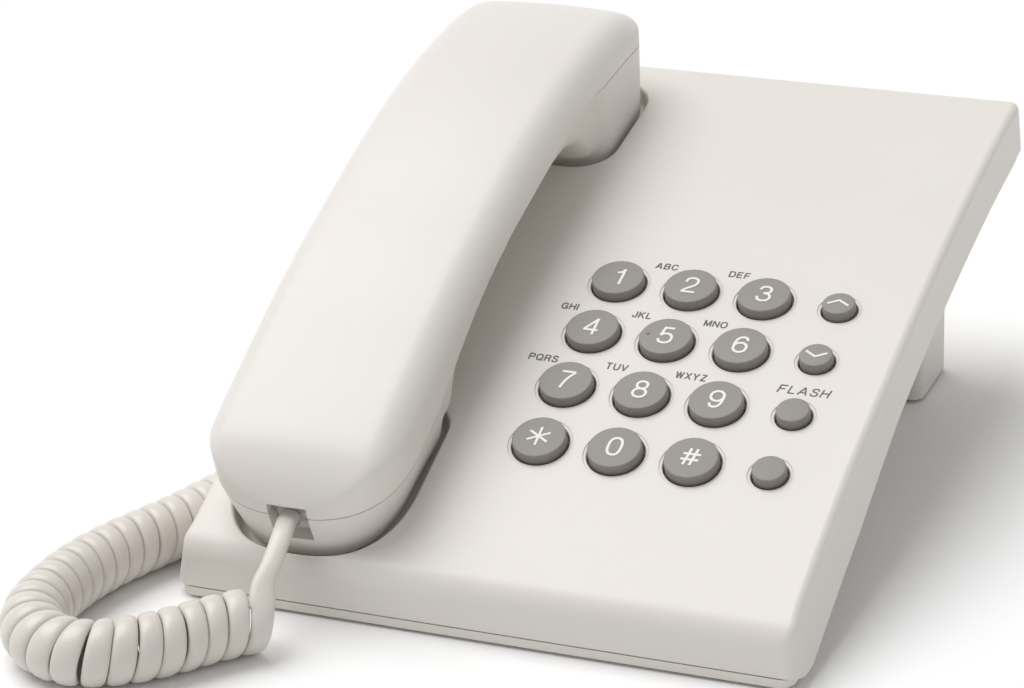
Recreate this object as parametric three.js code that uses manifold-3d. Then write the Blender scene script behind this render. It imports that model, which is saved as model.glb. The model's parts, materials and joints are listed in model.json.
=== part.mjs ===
// Corded desk telephone: a thin curved base with a round-key dial pad, a handset lying in two
// cradle pockets, its curly cord, and a stand under the rear edge.
// Millimetres, +Z up. X runs left to right, Y from the front edge to the rear edge. The origin
// is on the table under the middle of the base.
import * as THREE from 'three';
import { mergeVertices } from 'three/addons/utils/BufferGeometryUtils.js';
import Module from 'manifold-3d';

const wasm = await Module();
wasm.setup();

// ---------------------------------------------------------------- base, driving dimensions
const baseWidth = 150;
const baseDepth = 192;
const topRadius = 668;            // the top is one long shallow arch from front to rear
const topFrontSlope = 25.27;      // degrees, where the arch meets the front edge
const topFrontHeight = 13.7;      // height of that corner before it is rounded
const topLength = 200;            // along the arch
const planCornerRadius = 4;
const frontEdgeRadius = 10;
const rearEdgeRadius = 4;
const sideEdgeRadius = 3;
const baseWall = 2.2;
const casingGap = 0.3;            // between the two casings along their seam
const seatGap = 0.3;              // between pieces that rest on each other
const seamFrontHeight = 3.2;
const coverFrontHeight = 0.8;     // underside of the front edge
const bellyLeftMargin = 19;       // the deeper middle of the bottom cover, from the base's sides
const bellyRightMargin = 5;
const bellyFront = 14;            // from the front edge
const bellyRearMargin = 7;        // from the rear edge
const bellyDrop = 17;             // underside of that part, straight below the top
const coverWall = 2;

// Height of the seam below the top, and of the cover's strip below the seam, by distance
// from the front edge.
const seamDrops = [[0, 14.4], [45, 14.2], [75, 11.6], [105, 11.6], [150, 12.1], [192, 12.4]];
const stripHeights = [[0, 2.4], [10, 2.4], [24, 1.0], [60, 1.0], [80, 1.8], [115, 4.3], [192, 4.6]];

// ---------------------------------------------------------------- keys
const keyPitchX = 18.56;
const keyPitchY = 18.93;
const keyFirstX = 0.11;           // first column, from the middle of the base
const keyFirstS = 44.52;          // first row, along the arch from the front
const dialKeyRadius = 6.4;
const functionKeyRadius = 4;
const keyHoleGap = 0.5;
const keyHoleReach = 6;           // a key's hole is cut this far up and down
const keyHeight = 2.1;            // above the casing
const keyTravel = 1.6;
const keyFlangeWidth = 1.3;
const keyFlangeHeight = 1.1;
const keyEdge = [[0, 0.7], [0.5, 0.15], [1.4, 0]];   // its rounded edge: [inwards, down] from the rim
const keyCrown = 0.1;
const nibRadius = 0.5;
const nibHeight = 0.35;
const nibPlace = -4.4;            // at the left of the key that carries it
const domeHeight = 1.9;
const domeInset = 1.8;            // a dome's foot is this much narrower than its key
const domeTaper = 0.8;
const matThickness = 1;
const matMargin = 9.5;
const boardThickness = 1.6;
const boardMargin = 11;           // past the first and last rows of keys
const boardSideMargin = 10;       // past the first and last columns

// ---------------------------------------------------------------- handset, in its cradle frame
// u is across the handset, v along it from the mouth end, w square to the line between the
// front and rear edges of the base's top.
const handsetX = -46;
const handsetHalfWidth = 24.5;
const handsetWall = 2.2;
const shoulderRadius = 7;
const crownDrop = 1.6;            // the top is this much lower at its shoulders
const mouthLength = 25;           // the rounded mouth end, seen from above
const mouthPower = 2.6;
const earCornerRadius = 13;
const handsetFront = 3.5;
const earRear = 189;
const earBlockLength = 39.5;
const earBlockFront = earRear - earBlockLength;
const crownLine = [[3.5, 10.4], [5, 15.5], [8.8, 20.3], [15, 24.2], [26, 27], [41, 29.7], [56, 32.4],
  [73, 34.5], [92, 35.8], [110, 36.9], [128, 37.2], [144, 36.4], [158, 34.6], [171, 32.2], [182, 29],
  [189.5, 24.8], [193.6, 19.6]];
const partingLine = [[3.5, 10.1], [17.5, 11.9], [30, 13.5], [42, 15.6], [54, 19.2], [66, 22.4], [78, 24.5],
  [92, 25.8], [110, 26.3], [128, 26.3], [141, 25.6], [154, 24], [169, 21.4], [182, 18.7], [194, 16]];
const undersideLine = [[50, 6], [54, 11], [60, 15.2], [70, 18.2], [90, 20.2], [107, 20.6],
  [earBlockFront - 21.5, 20], [earBlockFront - 11.5, 17.6], [earBlockFront - 5.5, 13.4],
  [earBlockFront - 1.5, 7]];
const handleInset = 2;            // the underside is narrower than the band above it
const handleRounding = 4.5;
const handleReach = 20;           // the handle goes this far into the blocks at its ends
const mouthBlockRear = 50;
const mouthDraft = 0.36;          // the mouth block's sides draw in below the parting line
const mouthDraftRear = 0.22;
const mouthDraftFront = 0.12;
const earBlockCorner = 10;
const pocketDepth = 5;
const pocketCorner = 8;
const floorEnd = 4;               // a pocket's floor bends this far inside its two ends
const mouthPocketFront = 2.3;
const mouthPocketHalfWidth = 23;
const mouthPocketRear = 52;
const earPocketGap = 2.2;         // to the rear and the sides
const earPocketFrontGap = 4;

// ---------------------------------------------------------------- cord
const wireWidth = 5;
const wireThickness = 2.6;
const leadDiameter = 4.4;
const coilDiameter = 15.2;
const coilTurns = 28;
const coilFirstTurn = 0.06;       // the wire enters its first turn just past the top
const coilLastTurn = 27.75;       // and leaves its last turn going up
const coilLean = 3.6;             // the turns lean: their tops lie this much further along
const stepsPerTurn = 8;
const sidesOfWire = 5;
const leastCoilGap = 0.45;
// The coil's centre line on the table, from the handset's end to the base's end.
const coilRoute = [[-43.4, -112.6], [-47.6, -115], [-53.5, -121.4], [-60, -129.2], [-66.2, -135],
  [-75.4, -139.6], [-83.8, -138.8], [-90.6, -134.2], [-94.5, -126.8], [-95.6, -115.8], [-94.6, -105],
  [-91.9, -94.8], [-88, -85.4], [-84, -76], [-80.4, -65.6], [-77.2, -55.6], [-74.2, -46]];
// Free stretches, from the handset's plug to the coil and from the coil to the base's plug.
const handsetLeadRoute = [[-45.8, -104, 18.6]];
const baseLeadRoute = [[-80.8, -42, 16], [-81.6, -34, 22.5], [-83, -24.5, 30], [-84, -15, 37],
  [-83, -7.5, 40.6]];

// ---------------------------------------------------------------- fineness
const farAway = 120;              // past every face, for the solids that only cut
const archSteps = 14;
const edgeSteps = 4;
const mouthSteps = 12;
const cornerSteps = 4;
const keySides = 14;
const functionKeySides = 12;
const domeSides = 6;
const pinSides = 14;
const shankSides = 8;

const material = (color, roughness, metalness = 0) =>
  new THREE.MeshStandardMaterial({ color, roughness, metalness });
const casingWhite = material(0xe2ddd8, 0.42);
const cordWhite = material(0xdcd6cf, 0.45);
const keyGrey = material(0x8a857e, 0.55);
const rubberBlack = material(0x232323, 0.85);
const matGrey = material(0x6e6a66, 0.8);
const boardGreen = material(0x2c5a3a, 0.55);
const steel = material(0xb5b5b8, 0.35, 1);
const plasticBlack = material(0x1d1d1f, 0.5);
const clearPlastic = material(0xd9dde0, 0.25);

const model = new THREE.Group();

// ---------------------------------------------------------------- helpers for solids
function toSolid(geometry) {
  const plain = geometry.index ? geometry.toNonIndexed() : geometry.clone();
  plain.deleteAttribute('normal');
  plain.deleteAttribute('uv');
  const merged = mergeVertices(plain, 1e-4);
  const mesh = new wasm.Mesh({
    numProp: 3,
    vertProperties: new Float32Array(merged.attributes.position.array),
    triVerts: new Uint32Array(merged.index.array),
  });
  return new wasm.Manifold(mesh);
}

function toGeometry(solid) {
  const mesh = solid.getMesh();
  const geometry = new THREE.BufferGeometry();
  geometry.setAttribute('position', new THREE.BufferAttribute(new Float32Array(mesh.vertProperties), 3));
  geometry.setIndex(new THREE.BufferAttribute(new Uint32Array(mesh.triVerts), 1));
  geometry.computeVertexNormals();
  return geometry;
}

function addPiece(name, solidOrGeometry, look, parent = model) {
  const geometry = solidOrGeometry.isBufferGeometry ? solidOrGeometry : toGeometry(solidOrGeometry);
  const mesh = new THREE.Mesh(geometry, look);
  mesh.name = name;
  parent.add(mesh);
  return mesh;
}

const shapeOf = (points) => new THREE.Shape(points.map(([x, y]) => new THREE.Vector2(x, y)));

// An outline in a plane, extruded from low to high, with its two end faces' edges rounded.
function slabGeometry(points, low, high, rounding = 0, steps = 1, roundingSteps = 2) {
  return new THREE.ExtrudeGeometry(shapeOf(points), {
    depth: high - low - 2 * rounding,
    steps,
    bevelEnabled: rounding > 0,
    bevelThickness: rounding,
    bevelSize: rounding,
    bevelOffset: -rounding,
    bevelSegments: roundingSteps,
    curveSegments: 1,
  }).translate(0, 0, low + rounding);
}

const acrossX = new THREE.Matrix4().makeBasis(
  new THREE.Vector3(0, 1, 0), new THREE.Vector3(0, 0, 1), new THREE.Vector3(1, 0, 0));

// An outline in the side view (y, z), extruded across from xLow to xHigh.
const sideSlab = (points, xLow, xHigh, rounding, steps, roundingSteps) =>
  slabGeometry(points, xLow, xHigh, rounding, steps, roundingSteps).applyMatrix4(acrossX);

function box(sizeX, sizeY, sizeZ, x = 0, y = 0, z = 0) {
  return new THREE.BoxGeometry(sizeX, sizeY, sizeZ).translate(x, y, z);
}

// A cylinder along Z from low to high.
function drum(radius, low, high, x = 0, y = 0, sides = 20, topRadius = radius) {
  return new THREE.CylinderGeometry(topRadius, radius, high - low, sides)
    .rotateX(Math.PI / 2).translate(x, y, (low + high) / 2);
}

// A closed ring or turned piece about Z; the profile holds [radius, height] points.
function turned(profile, sides) {
  const points = profile.map(([r, h]) => new THREE.Vector2(r, h));
  return new THREE.LatheGeometry(points, sides).rotateX(Math.PI / 2);
}

const roundedRectangle = (left, right, low, high, lowRadius, highRadius, steps = 4) => {
  const outline = [];
  const corners = [
    [right - lowRadius, low + lowRadius, lowRadius, -90],
    [right - highRadius, high - highRadius, highRadius, 0],
    [left + highRadius, high - highRadius, highRadius, 90],
    [left + lowRadius, low + lowRadius, lowRadius, 180],
  ];
  for (const [x, y, r, start] of corners) {
    for (let i = 0; i <= steps; i++) {
      const a = THREE.MathUtils.degToRad(start + (90 * i) / steps);
      outline.push([x + r * Math.cos(a), y + r * Math.sin(a)]);
    }
  }
  return outline;
};

const smooth = (points, count) =>
  new THREE.SplineCurve(points.map(([x, y]) => new THREE.Vector2(x, y)))
    .getPoints(count).map((p) => [p.x, p.y]);

// Straight-line reading of a list of [place, value] pairs.
function readAt(table, place) {
  let i = 1;
  while (i < table.length - 1 && table[i][0] < place) i++;
  const [x0, y0] = table[i - 1];
  const [x1, y1] = table[i];
  const t = THREE.MathUtils.clamp((place - x0) / (x1 - x0), 0, 1);
  return y0 + (y1 - y0) * t;
}

// ---------------------------------------------------------------- the base's own geometry
const frontY = -baseDepth / 2;
const rearY = baseDepth / 2;
const halfWidth = baseWidth / 2;
const frontSlope = THREE.MathUtils.degToRad(topFrontSlope);
const archY = frontY + topRadius * Math.sin(frontSlope);
const archZ = topFrontHeight - topRadius * Math.cos(frontSlope);
const archHeight = (y, inset = 0) =>
  archZ + Math.sqrt((topRadius - inset) ** 2 - (y - archY) ** 2);
const slopeAt = (s) => frontSlope - s / topRadius;

// A frame on the top, s along the arch: its z is square to the casing.
function frameAt(x, s, height = 0) {
  const a = slopeAt(s);
  const r = topRadius + height;
  return new THREE.Matrix4().makeRotationX(a)
    .setPosition(x, archY - r * Math.sin(a), archZ + r * Math.cos(a));
}

// The side outline of the base: front face, arch and rear face, with both top edges rounded.
function archOutline(inset, bottom) {
  const front = frontY + inset;
  const rear = rearY - inset;
  const radius = topRadius - inset;
  const outline = [];
  const rounded = (edge, r, fromAngle, side) => {
    const y = edge - side * r;
    const z = archZ + Math.sqrt((radius - r) ** 2 - (y - archY) ** 2);
    const meet = Math.atan2(z - archZ, y - archY);
    const points = [];
    for (let i = 0; i <= edgeSteps; i++) {
      const a = fromAngle + ((meet - fromAngle) * i) / edgeSteps;
      points.push([y + r * Math.cos(a), z + r * Math.sin(a)]);
    }
    return points;
  };
  const frontArc = rounded(front, Math.max(frontEdgeRadius - inset, 1), Math.PI, -1);
  const rearArc = rounded(rear, Math.max(rearEdgeRadius - inset, 1), 0, 1).reverse();
  const y0 = frontArc.at(-1)[0];
  const y1 = rearArc[0][0];
  outline.push([front, bottom(front)], ...frontArc);
  for (let i = 1; i < archSteps; i++) {
    const y = y0 + ((y1 - y0) * i) / archSteps;
    outline.push([y, archHeight(y, inset)]);
  }
  outline.push(...rearArc, [rear, bottom(rear)]);
  return outline;
}

const bellyLeft = bellyLeftMargin - halfWidth;
const bellyRight = halfWidth - bellyRightMargin;
const bellyRear = baseDepth - bellyRearMargin;
const fromFront = (y) => y - frontY;
const seamHeight = (y) => Math.max(seamFrontHeight, archHeight(y) - readAt(seamDrops, fromFront(y)));
const coverHeight = (y) =>
  Math.max(coverFrontHeight, seamHeight(y) - readAt(stripHeights, fromFront(y)));
const bellyHeight = (y) => Math.max(coverFrontHeight, archHeight(y) - bellyDrop);
const stations = [0, 7, 12, 18, 24, 34, 45, 60, 75, 90, 105, 120, 135, 150, 165, 180, 192];
const stationYs = stations.map((d) => frontY + (d / stations.at(-1)) * baseDepth);

// Everything above or below a line that runs front to rear.
function halfSpace(heightAt, offset, above) {
  const line = stationYs.map((y) => [y, heightAt(y) + offset]);
  line[0][0] -= farAway;
  line[line.length - 1][0] += farAway;
  const far = above ? 2 * farAway : -farAway;
  const outline = [...line, [line.at(-1)[0], far], [line[0][0], far]];
  return toSolid(sideSlab(above ? outline : outline.reverse(), -farAway, farAway));
}

const slabOutline = archOutline(0, coverHeight);
const underline = stationYs.slice(1, -1).reverse().map((y) => [y, coverHeight(y)]);
const planOutline = roundedRectangle(-halfWidth, halfWidth, frontY, rearY,
  planCornerRadius, planCornerRadius);
const sideOutline = [...slabOutline, ...underline].reverse();
const slabSolid = toSolid(sideSlab(sideOutline, -halfWidth, halfWidth, sideEdgeRadius))
  .intersect(toSolid(slabGeometry(planOutline, -farAway, farAway)));

// ---------------------------------------------------------------- the cradle frame
const chordTilt = (slopeAt(0) + slopeAt(topLength)) / 2;
const cradle = new THREE.Matrix4().makeRotationX(chordTilt).setPosition(0, frontY, topFrontHeight);
const cradleInverse = cradle.clone().invert();
const rearLean = Math.tan(chordTilt);   // the ear end's rear face stands upright

// Height of the base's top in the cradle frame at v.
function topAt(v) {
  let s = v;
  for (let i = 0; i < 4; i++) {
    const p = new THREE.Vector3().setFromMatrixPosition(frameAt(0, s)).applyMatrix4(cradleInverse);
    s += v - p.y;
  }
  return new THREE.Vector3().setFromMatrixPosition(frameAt(0, s)).applyMatrix4(cradleInverse).z;
}

// The rounded mouth end and the square ear end, seen from above, drawn in by inset.
function mouthOutline(inset, rear, corner, halfWide = handsetHalfWidth, frontmost = handsetFront) {
  const a = halfWide - inset;
  const d = mouthLength - inset;
  const front = frontmost + inset;
  const curve = [];
  for (let i = 0; i <= mouthSteps; i++) {
    const t = (Math.PI * i) / mouthSteps;
    const c = Math.cos(t);
    const x = -Math.sign(c) * a * Math.abs(c) ** (2 / mouthPower);
    const v = front + d - d * Math.sin(t) ** (2 / mouthPower);
    curve.push([handsetX + x, v]);
  }
  const back = roundedRectangle(handsetX - a, handsetX + a, front, rear - inset, 1,
    Math.max(corner - inset, 1), cornerSteps);
  return [...curve, ...back.slice(cornerSteps + 1, 3 * (cornerSteps + 1))];
}

const earOutline = (inset, front, corner) =>
  roundedRectangle(handsetX - handsetHalfWidth + inset, handsetX + handsetHalfWidth - inset,
    front + inset, earRear - inset, Math.max(corner - inset, 1), Math.max(earCornerRadius - inset, 1));

// Moves each point of a geometry.
function reshape(geometry, change) {
  const p = geometry.attributes.position;
  const point = new THREE.Vector3();
  for (let i = 0; i < p.count; i++) {
    point.fromBufferAttribute(p, i);
    change(point);
    p.setXYZ(i, point.x, point.y, point.z);
  }
  return geometry;
}

// The mouth end draws in below a level, towards its middle. The points' heights are from there.
function drawIn(p, levelAt) {
  const depth = Math.max(0, -p.z);
  p.z += levelAt(p.y);
  const middle = handsetFront + mouthLength;
  const along = THREE.MathUtils.clamp((p.y - middle) / (mouthBlockRear - middle), 0, 1);
  const draft = THREE.MathUtils.lerp(mouthDraft, mouthDraftRear, along);
  p.x = handsetX + (p.x - handsetX) * (1 - (draft * depth) / handsetHalfWidth);
  if (p.y < middle) p.y = middle + (p.y - middle) * (1 - (mouthDraftFront * depth) / mouthLength);
}
const leanRear = (p) => { if (p.y > (earBlockFront + earRear) / 2) p.y += p.z * rearLean; };

function wholeOutline(inset) {
  const outline = mouthOutline(inset, earRear, earCornerRadius);
  return toSolid(reshape(slabGeometry(outline, -farAway, farAway), leanRear));
}

// Crown, parting and underside lines, sampled once.
const crown = smooth(crownLine, 32);
const parting = smooth(partingLine, 18);
const underside = smooth(undersideLine, 14);

const lowered = (line, by) => line.map(([v, w]) => [v, w - by]);

// The band under the crown line, down to a level below the parting line.
const bandDepth = 8;
function crownSolid(inset, rounding) {
  const front = crown[0][0] + inset;
  const rear = crown.at(-1)[0] - inset;
  const line = lowered(crown, inset).filter(([v]) => v > front && v < rear);
  const outline = [[front, -bandDepth], [rear - bandDepth, -bandDepth], [rear, bandDepth], ...line.reverse()];
  const geometry = sideSlab(outline, handsetX - handsetHalfWidth + inset,
    handsetX + handsetHalfWidth - inset, rounding, 4, 3);
  const crowned = reshape(geometry, (p) => {
    const t = (p.x - handsetX) / handsetHalfWidth;
    if (p.z > bandDepth) p.z -= crownDrop * t * t;
  });
  return toSolid(crowned).intersect(wholeOutline(inset));
}

function pastParting(offset, above) {
  const far = above ? farAway : -farAway;
  const line = lowered(parting, -offset);
  const outline = [[-farAway, line[0][1]], ...line, [2 * farAway, line.at(-1)[1]], [2 * farAway, far],
    [-farAway, far]];
  return toSolid(sideSlab(above ? outline : outline.reverse(), -farAway, farAway));
}

// ---------------------------------------------------------------- cradle pockets in the base
function pocketSolid(walls, front, rear, deeper) {
  const vs = [front - farAway, front + floorEnd, (front + rear) / 2, rear - floorEnd, rear + farAway];
  const floor = vs.map((v) => [v, topAt(THREE.MathUtils.clamp(v, front, rear)) - pocketDepth - deeper]);
  const outline = [...floor, [rear + farAway, farAway], [front - farAway, farAway]];
  return walls.intersect(toSolid(sideSlab(outline, -farAway, farAway)));
}
function mouthPocketWalls(grow) {
  const outline = mouthOutline(-grow, mouthPocketRear, pocketCorner, mouthPocketHalfWidth, mouthPocketFront);
  return toSolid(reshape(slabGeometry(outline, -12, 12, 0, 2), (p) => drawIn(p, topAt)));
}
function earPocketWalls(grow) {
  const side = handsetHalfWidth + earPocketGap + grow;
  return toSolid(reshape(slabGeometry(roundedRectangle(handsetX - side, handsetX + side,
    earBlockFront - earPocketFrontGap - grow, earRear + earPocketGap + grow,
    earBlockCorner, earCornerRadius), -20, 40), leanRear));
}
function pocket(which, grow, deeper) {
  const solid = which === 'mouth'
    ? pocketSolid(mouthPocketWalls(grow), handsetFront, mouthBlockRear, deeper)
    : pocketSolid(earPocketWalls(grow), earBlockFront, earRear, deeper);
  return solid.transform(cradle.elements);
}

// ---------------------------------------------------------------- places that several pieces share
const columns = [0, 1, 2, 3].map((c) => keyFirstX + c * keyPitchX);
const rows = [0, 1, 2, 3].map((r) => keyFirstS + r * keyPitchY);
const keyNames = [
  ['key_star', 'key_0', 'key_hash', 'key_redial'],
  ['key_7', 'key_8', 'key_9', 'key_flash'],
  ['key_4', 'key_5', 'key_6', 'key_down'],
  ['key_1', 'key_2', 'key_3', 'key_up'],
];
const isDial = (column) => column < 3;
const keyRadius = (column) => (isDial(column) ? dialKeyRadius : functionKeyRadius);
const keySidesOf = (column) => (isDial(column) ? keySides : functionKeySides);
const padMiddleX = (columns[0] + columns[3]) / 2;
const padMiddleS = (rows[0] + rows[3]) / 2;
const padFrame = frameAt(padMiddleX, padMiddleS);
const padHalfX = (columns[3] - columns[0]) / 2;
const padHalfY = (rows[3] - rows[0]) / 2;
const flangeTop = -baseWall - seatGap;
const domeTop = flangeTop - keyFlangeHeight - keyTravel - seatGap;
const matTop = domeTop - domeHeight;
const boardTop = matTop - matThickness - seatGap;
const boardBottom = boardTop - boardThickness;

// ---------------------------------------------------------------- base casings
const coverFloor = (y) => coverHeight(y) + coverWall;
const bellyFloor = (y) => bellyHeight(y) + coverWall;
const atDepth = (distance) => frontY + distance;

function pillar(radius, low, high, x, y, sides = pinSides) {
  return toSolid(drum(radius, low, high, x, y, sides));
}

// Casing screws: [x, distance from the front edge].
const screwMargin = 13;           // the right-hand ones, from the base's side
const screwInnerX = -10;
const screwDistances = [21, 136];
const baseScrewPlaces = screwDistances.flatMap((d) => [[halfWidth - screwMargin, d], [screwInnerX, d]]);
const screwHeadRadius = 2.9;
const screwHeadHeight = 2;
const screwShankRadius = 1.3;
const screwLength = 9;
const screwHoleGap = 0.35;
const screwSeatHeight = 3.4;      // the head's seat, above the outside of the cover
const screwCupRadius = 4.6;
const screwCupHeight = 5.6;
const screwPostRadius = 3.6;
const screwEndRoom = 1;           // past a screw's tip
const screwHeadRoom = 0.8;

const slabTop = toSolid(sideSlab(archOutline(0, () => -farAway), -halfWidth, halfWidth));
const slabInside = toSolid(sideSlab(archOutline(baseWall, () => -farAway),
  -halfWidth + baseWall, halfWidth - baseWall));

const onTop = (solid, x, s, height = 0) => solid.transform(frameAt(x, s, height).elements);

function topShell() {
  let shell = slabSolid.intersect(halfSpace(seamHeight, 0, true)).subtract(slabInside);
  for (const which of ['mouth', 'ear']) {
    shell = shell.add(pocket(which, baseWall, baseWall).intersect(slabTop));
  }
  for (const [x, distance] of baseScrewPlaces) {
    const y = atDepth(distance);
    const low = bellyHeight(y) + screwCupHeight + seatGap;
    const post = pillar(screwPostRadius, low, farAway, x, y).intersect(slabTop);
    const deep = bellyHeight(y) + screwSeatHeight + screwLength + screwEndRoom;
    const hole = pillar(screwShankRadius + screwHoleGap, -farAway, deep, x, y, shankSides);
    shell = shell.add(post).subtract(hole);
  }
  for (const which of ['mouth', 'ear']) shell = shell.subtract(pocket(which, 0, 0));
  columns.forEach((x, c) => rows.forEach((s) => {
    const hole = pillar(keyRadius(c) + keyHoleGap, -keyHoleReach, keyHoleReach, 0, 0, keySidesOf(c));
    shell = shell.subtract(onTop(hole, x, s));
  }));
  return shell;
}

// ---------------------------------------------------------------- sockets and switches on the base
const socketWidth = 8.3;
const socketHeight = 6.8;
const socketWall = 1.1;
const socketLength = 14;
const socketDepth = 12.8;
const openingGap = 0.8;           // a casing's opening round a socket's mouth, a tab or a foot
const openingReach = 12;          // such an opening is cut this long, through its wall
const lineJackX = 30;
const lineSocketWidth = 10;
const rearSocketLift = 0.35;      // the rear sockets, above the cover's floor
const sideJackS = 97;             // the handset cord's socket, along the left side
const sideJackDepth = 7.1;
const ringerX = 0;
const ringerTravel = 3;
const ringerKnobWidth = 4;
const ringerKnobHeight = 3.4;
const ringerKnobGap = 1;          // round the whole slide of the knob
const ringerKnobSink = 0.2;       // its face, inside the rear face of the base
const ringerSwitchSize = [16, 5, 8];
const ringerSwitchBack = 2.4;     // its front, behind the casing's inner face

// A socket whose mouth faces +Y: its body, and the space in it.
function socket(width) {
  const body = toSolid(box(width + 2 * socketWall, socketLength, socketHeight + 2 * socketWall,
    0, -socketLength / 2, 0));
  const room = toSolid(box(width, 2 * socketDepth, socketHeight));
  return body.subtract(room);
}
const mouthOf = (width) =>
  toSolid(box(width + openingGap, openingReach, socketHeight + openingGap));

const lineJackHeight = coverFloor(rearY) + rearSocketLift + socketWall + socketHeight / 2;
const lineJackFrame = new THREE.Matrix4().setPosition(lineJackX, rearY - baseWall - seatGap, lineJackHeight);
const sideJackFrame = frameAt(-halfWidth + baseWall + seatGap, sideJackS, -sideJackDepth)
  .multiply(new THREE.Matrix4().makeRotationZ(Math.PI / 2));
const ringerY = rearY - baseWall - seatGap;

const wallOpenings = [
  mouthOf(lineSocketWidth).transform(lineJackFrame.elements),
  mouthOf(socketWidth).transform(sideJackFrame.elements),
  toSolid(box(ringerKnobWidth + 2 * ringerTravel + ringerKnobGap, openingReach,
    ringerKnobHeight + ringerKnobGap, ringerX, rearY, lineJackHeight)),
];

// ---------------------------------------------------------------- bottom cover
const frontFootMargin = 17;       // the middle of a foot, from the base's side
const frontFootX = halfWidth - frontFootMargin;
const frontFootSize = [16, 6];
const frontFootDistance = 8;
const footPadThickness = 2.6;     // the cover is thicker over the front feet
const footSink = 1.1;
const boardPostGap = 6.8;         // the left post stands this far outside the first column
const boardPosts = [-padHalfX - boardPostGap, padHalfX];
const boardPostRadius = 3;
const boardScrewRadius = 1.1;
const boardScrewHead = 2.3;
const boardScrewHeadHeight = 1.4;
const boardScrewLength = 5;
const tabPlaces = [-36, 36];      // the stand's two tabs reach up through the cover
const tabWidth = 10;
const tabThickness = 2;
const tabReach = 1.2;             // past the inside of the cover
const standRearMargin = 14;
const standThickness = 25;
const standRear = baseDepth - standRearMargin;
const standFront = standRear - standThickness;
const standMargin = 15;
const standHalfWidth = halfWidth - standMargin;
const standWall = 2.6;
const standCorner = 3;
const standCheek = 8;
const standFootHeight = 0.9;
const standFootSize = [6, 19];
const footCorner = 1.5;
const sounderX = -38;
const sounderS = 101;
const sounderRadius = 11.5;
const sounderHeight = 6;
const sounderEdge = 1;
const sounderHole = 2;
const sounderSlots = [2, 14, 4];  // width, length and pitch of the slots that let it out
const jackLedge = [10, 4];        // the cover's ledge under the line socket

const bellyTop = 3;               // the solid that makes it ends this far below the arch
const bellyEdge = 1.2;
const bellyDepthAt = (s) => bellyDrop * Math.cos(slopeAt(s));

function bellySolid(inset, lift) {
  const line = stationYs
    .filter((y) => fromFront(y) > bellyFront + coverWall && fromFront(y) < bellyRear - coverWall)
    .map((y) => [y, bellyHeight(y) + lift]);
  const front = atDepth(bellyFront) + inset;
  const rear = atDepth(bellyRear) - inset;
  const outline = [[front, bellyHeight(front) + lift], ...line, [rear, bellyHeight(rear) + lift],
    [rear, archHeight(rear) - bellyTop], [front, archHeight(front) - bellyTop]];
  return toSolid(sideSlab(outline, bellyLeft + inset, bellyRight - inset, inset > 0 ? 0 : bellyEdge, 1, 1));
}

function bottomCover() {
  const below = halfSpace(seamHeight, -casingGap, false);
  let cover = slabSolid.intersect(below).add(bellySolid(0, 0).intersect(below));
  const trayLine = stationYs.slice(1, -1).map((y) => [y, coverFloor(y)]);
  const trayFront = frontY + baseWall;
  const trayRear = rearY - baseWall;
  const tray = toSolid(sideSlab([[trayFront, coverFloor(trayFront)], ...trayLine,
    [trayRear, coverFloor(trayRear)], [trayRear, farAway], [trayFront, farAway]],
  -halfWidth + baseWall, halfWidth - baseWall));
  cover = cover.subtract(tray).subtract(bellySolid(coverWall, coverWall));
  for (const [x, distance] of baseScrewPlaces) {
    const y = atDepth(distance);
    const low = bellyHeight(y);
    cover = cover.add(pillar(screwCupRadius, low + 1, low + screwCupHeight, x, y))
      .subtract(pillar(screwHeadRadius + screwHoleGap, -farAway, low + screwSeatHeight, x, y))
      .subtract(pillar(screwShankRadius + screwHoleGap, low, farAway, x, y, shankSides));
  }
  for (const x of boardPosts) {
    const foot = coverWall / 2 - bellyDepthAt(padMiddleS);
    const post = pillar(boardPostRadius, foot, boardBottom - seatGap, 0, 0)
      .subtract(pillar(boardScrewRadius + screwHoleGap, boardTop - boardScrewLength - screwEndRoom, farAway,
        0, 0, shankSides));
    const place = new THREE.Matrix4().makeTranslation(x, 0, 0);
    cover = cover.add(post.transform(padFrame.clone().multiply(place).elements));
  }
  for (const side of [-1, 1]) {
    const [w, d] = frontFootSize;
    const y = atDepth(frontFootDistance);
    const pad = box(w + 2 * coverWall, d + 2 * coverWall, footPadThickness, side * frontFootX, y + 0.5,
      coverFrontHeight + coverWall);
    const recess = box(w + openingGap, d + openingGap, 2 * openingReach, side * frontFootX, y,
      coverFrontHeight + footSink - openingReach);
    cover = cover.add(toSolid(pad)).subtract(toSolid(recess));
  }
  for (const x of tabPlaces) {
    const y = atDepth((standFront + standRear) / 2);
    cover = cover.subtract(toSolid(box(tabWidth + openingGap, tabThickness + openingGap, openingReach, x, y,
      bellyHeight(y))));
  }
  const nest = box(socketWidth + 2 * (socketWall + seatGap), socketLength + 2 * seatGap,
    socketHeight + 2 * (socketWall + seatGap), 0, -socketLength / 2, 0);
  cover = cover.subtract(toSolid(nest).transform(sideJackFrame.elements));
  const [ledgeWidth, ledgeDepth] = jackLedge;
  const jackY = rearY - baseWall - socketLength + ledgeDepth;
  const ledgeTop = lineJackHeight - socketHeight / 2 - socketWall - seatGap;
  const ledgeFoot = bellyHeight(jackY) + coverWall / 2;
  cover = cover.add(toSolid(box(ledgeWidth, ledgeDepth, ledgeTop - ledgeFoot, lineJackX, jackY,
    (ledgeTop + ledgeFoot) / 2)));
  const [across, along, pitch] = sounderSlots;
  for (let i = -2; i <= 2; i++) {
    const slot = toSolid(box(across, along - across * Math.abs(i), 4 * coverWall));
    cover = cover.subtract(onTop(slot, sounderX + i * pitch, sounderS, -bellyDepthAt(sounderS)));
  }
  return cover;
}

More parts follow.
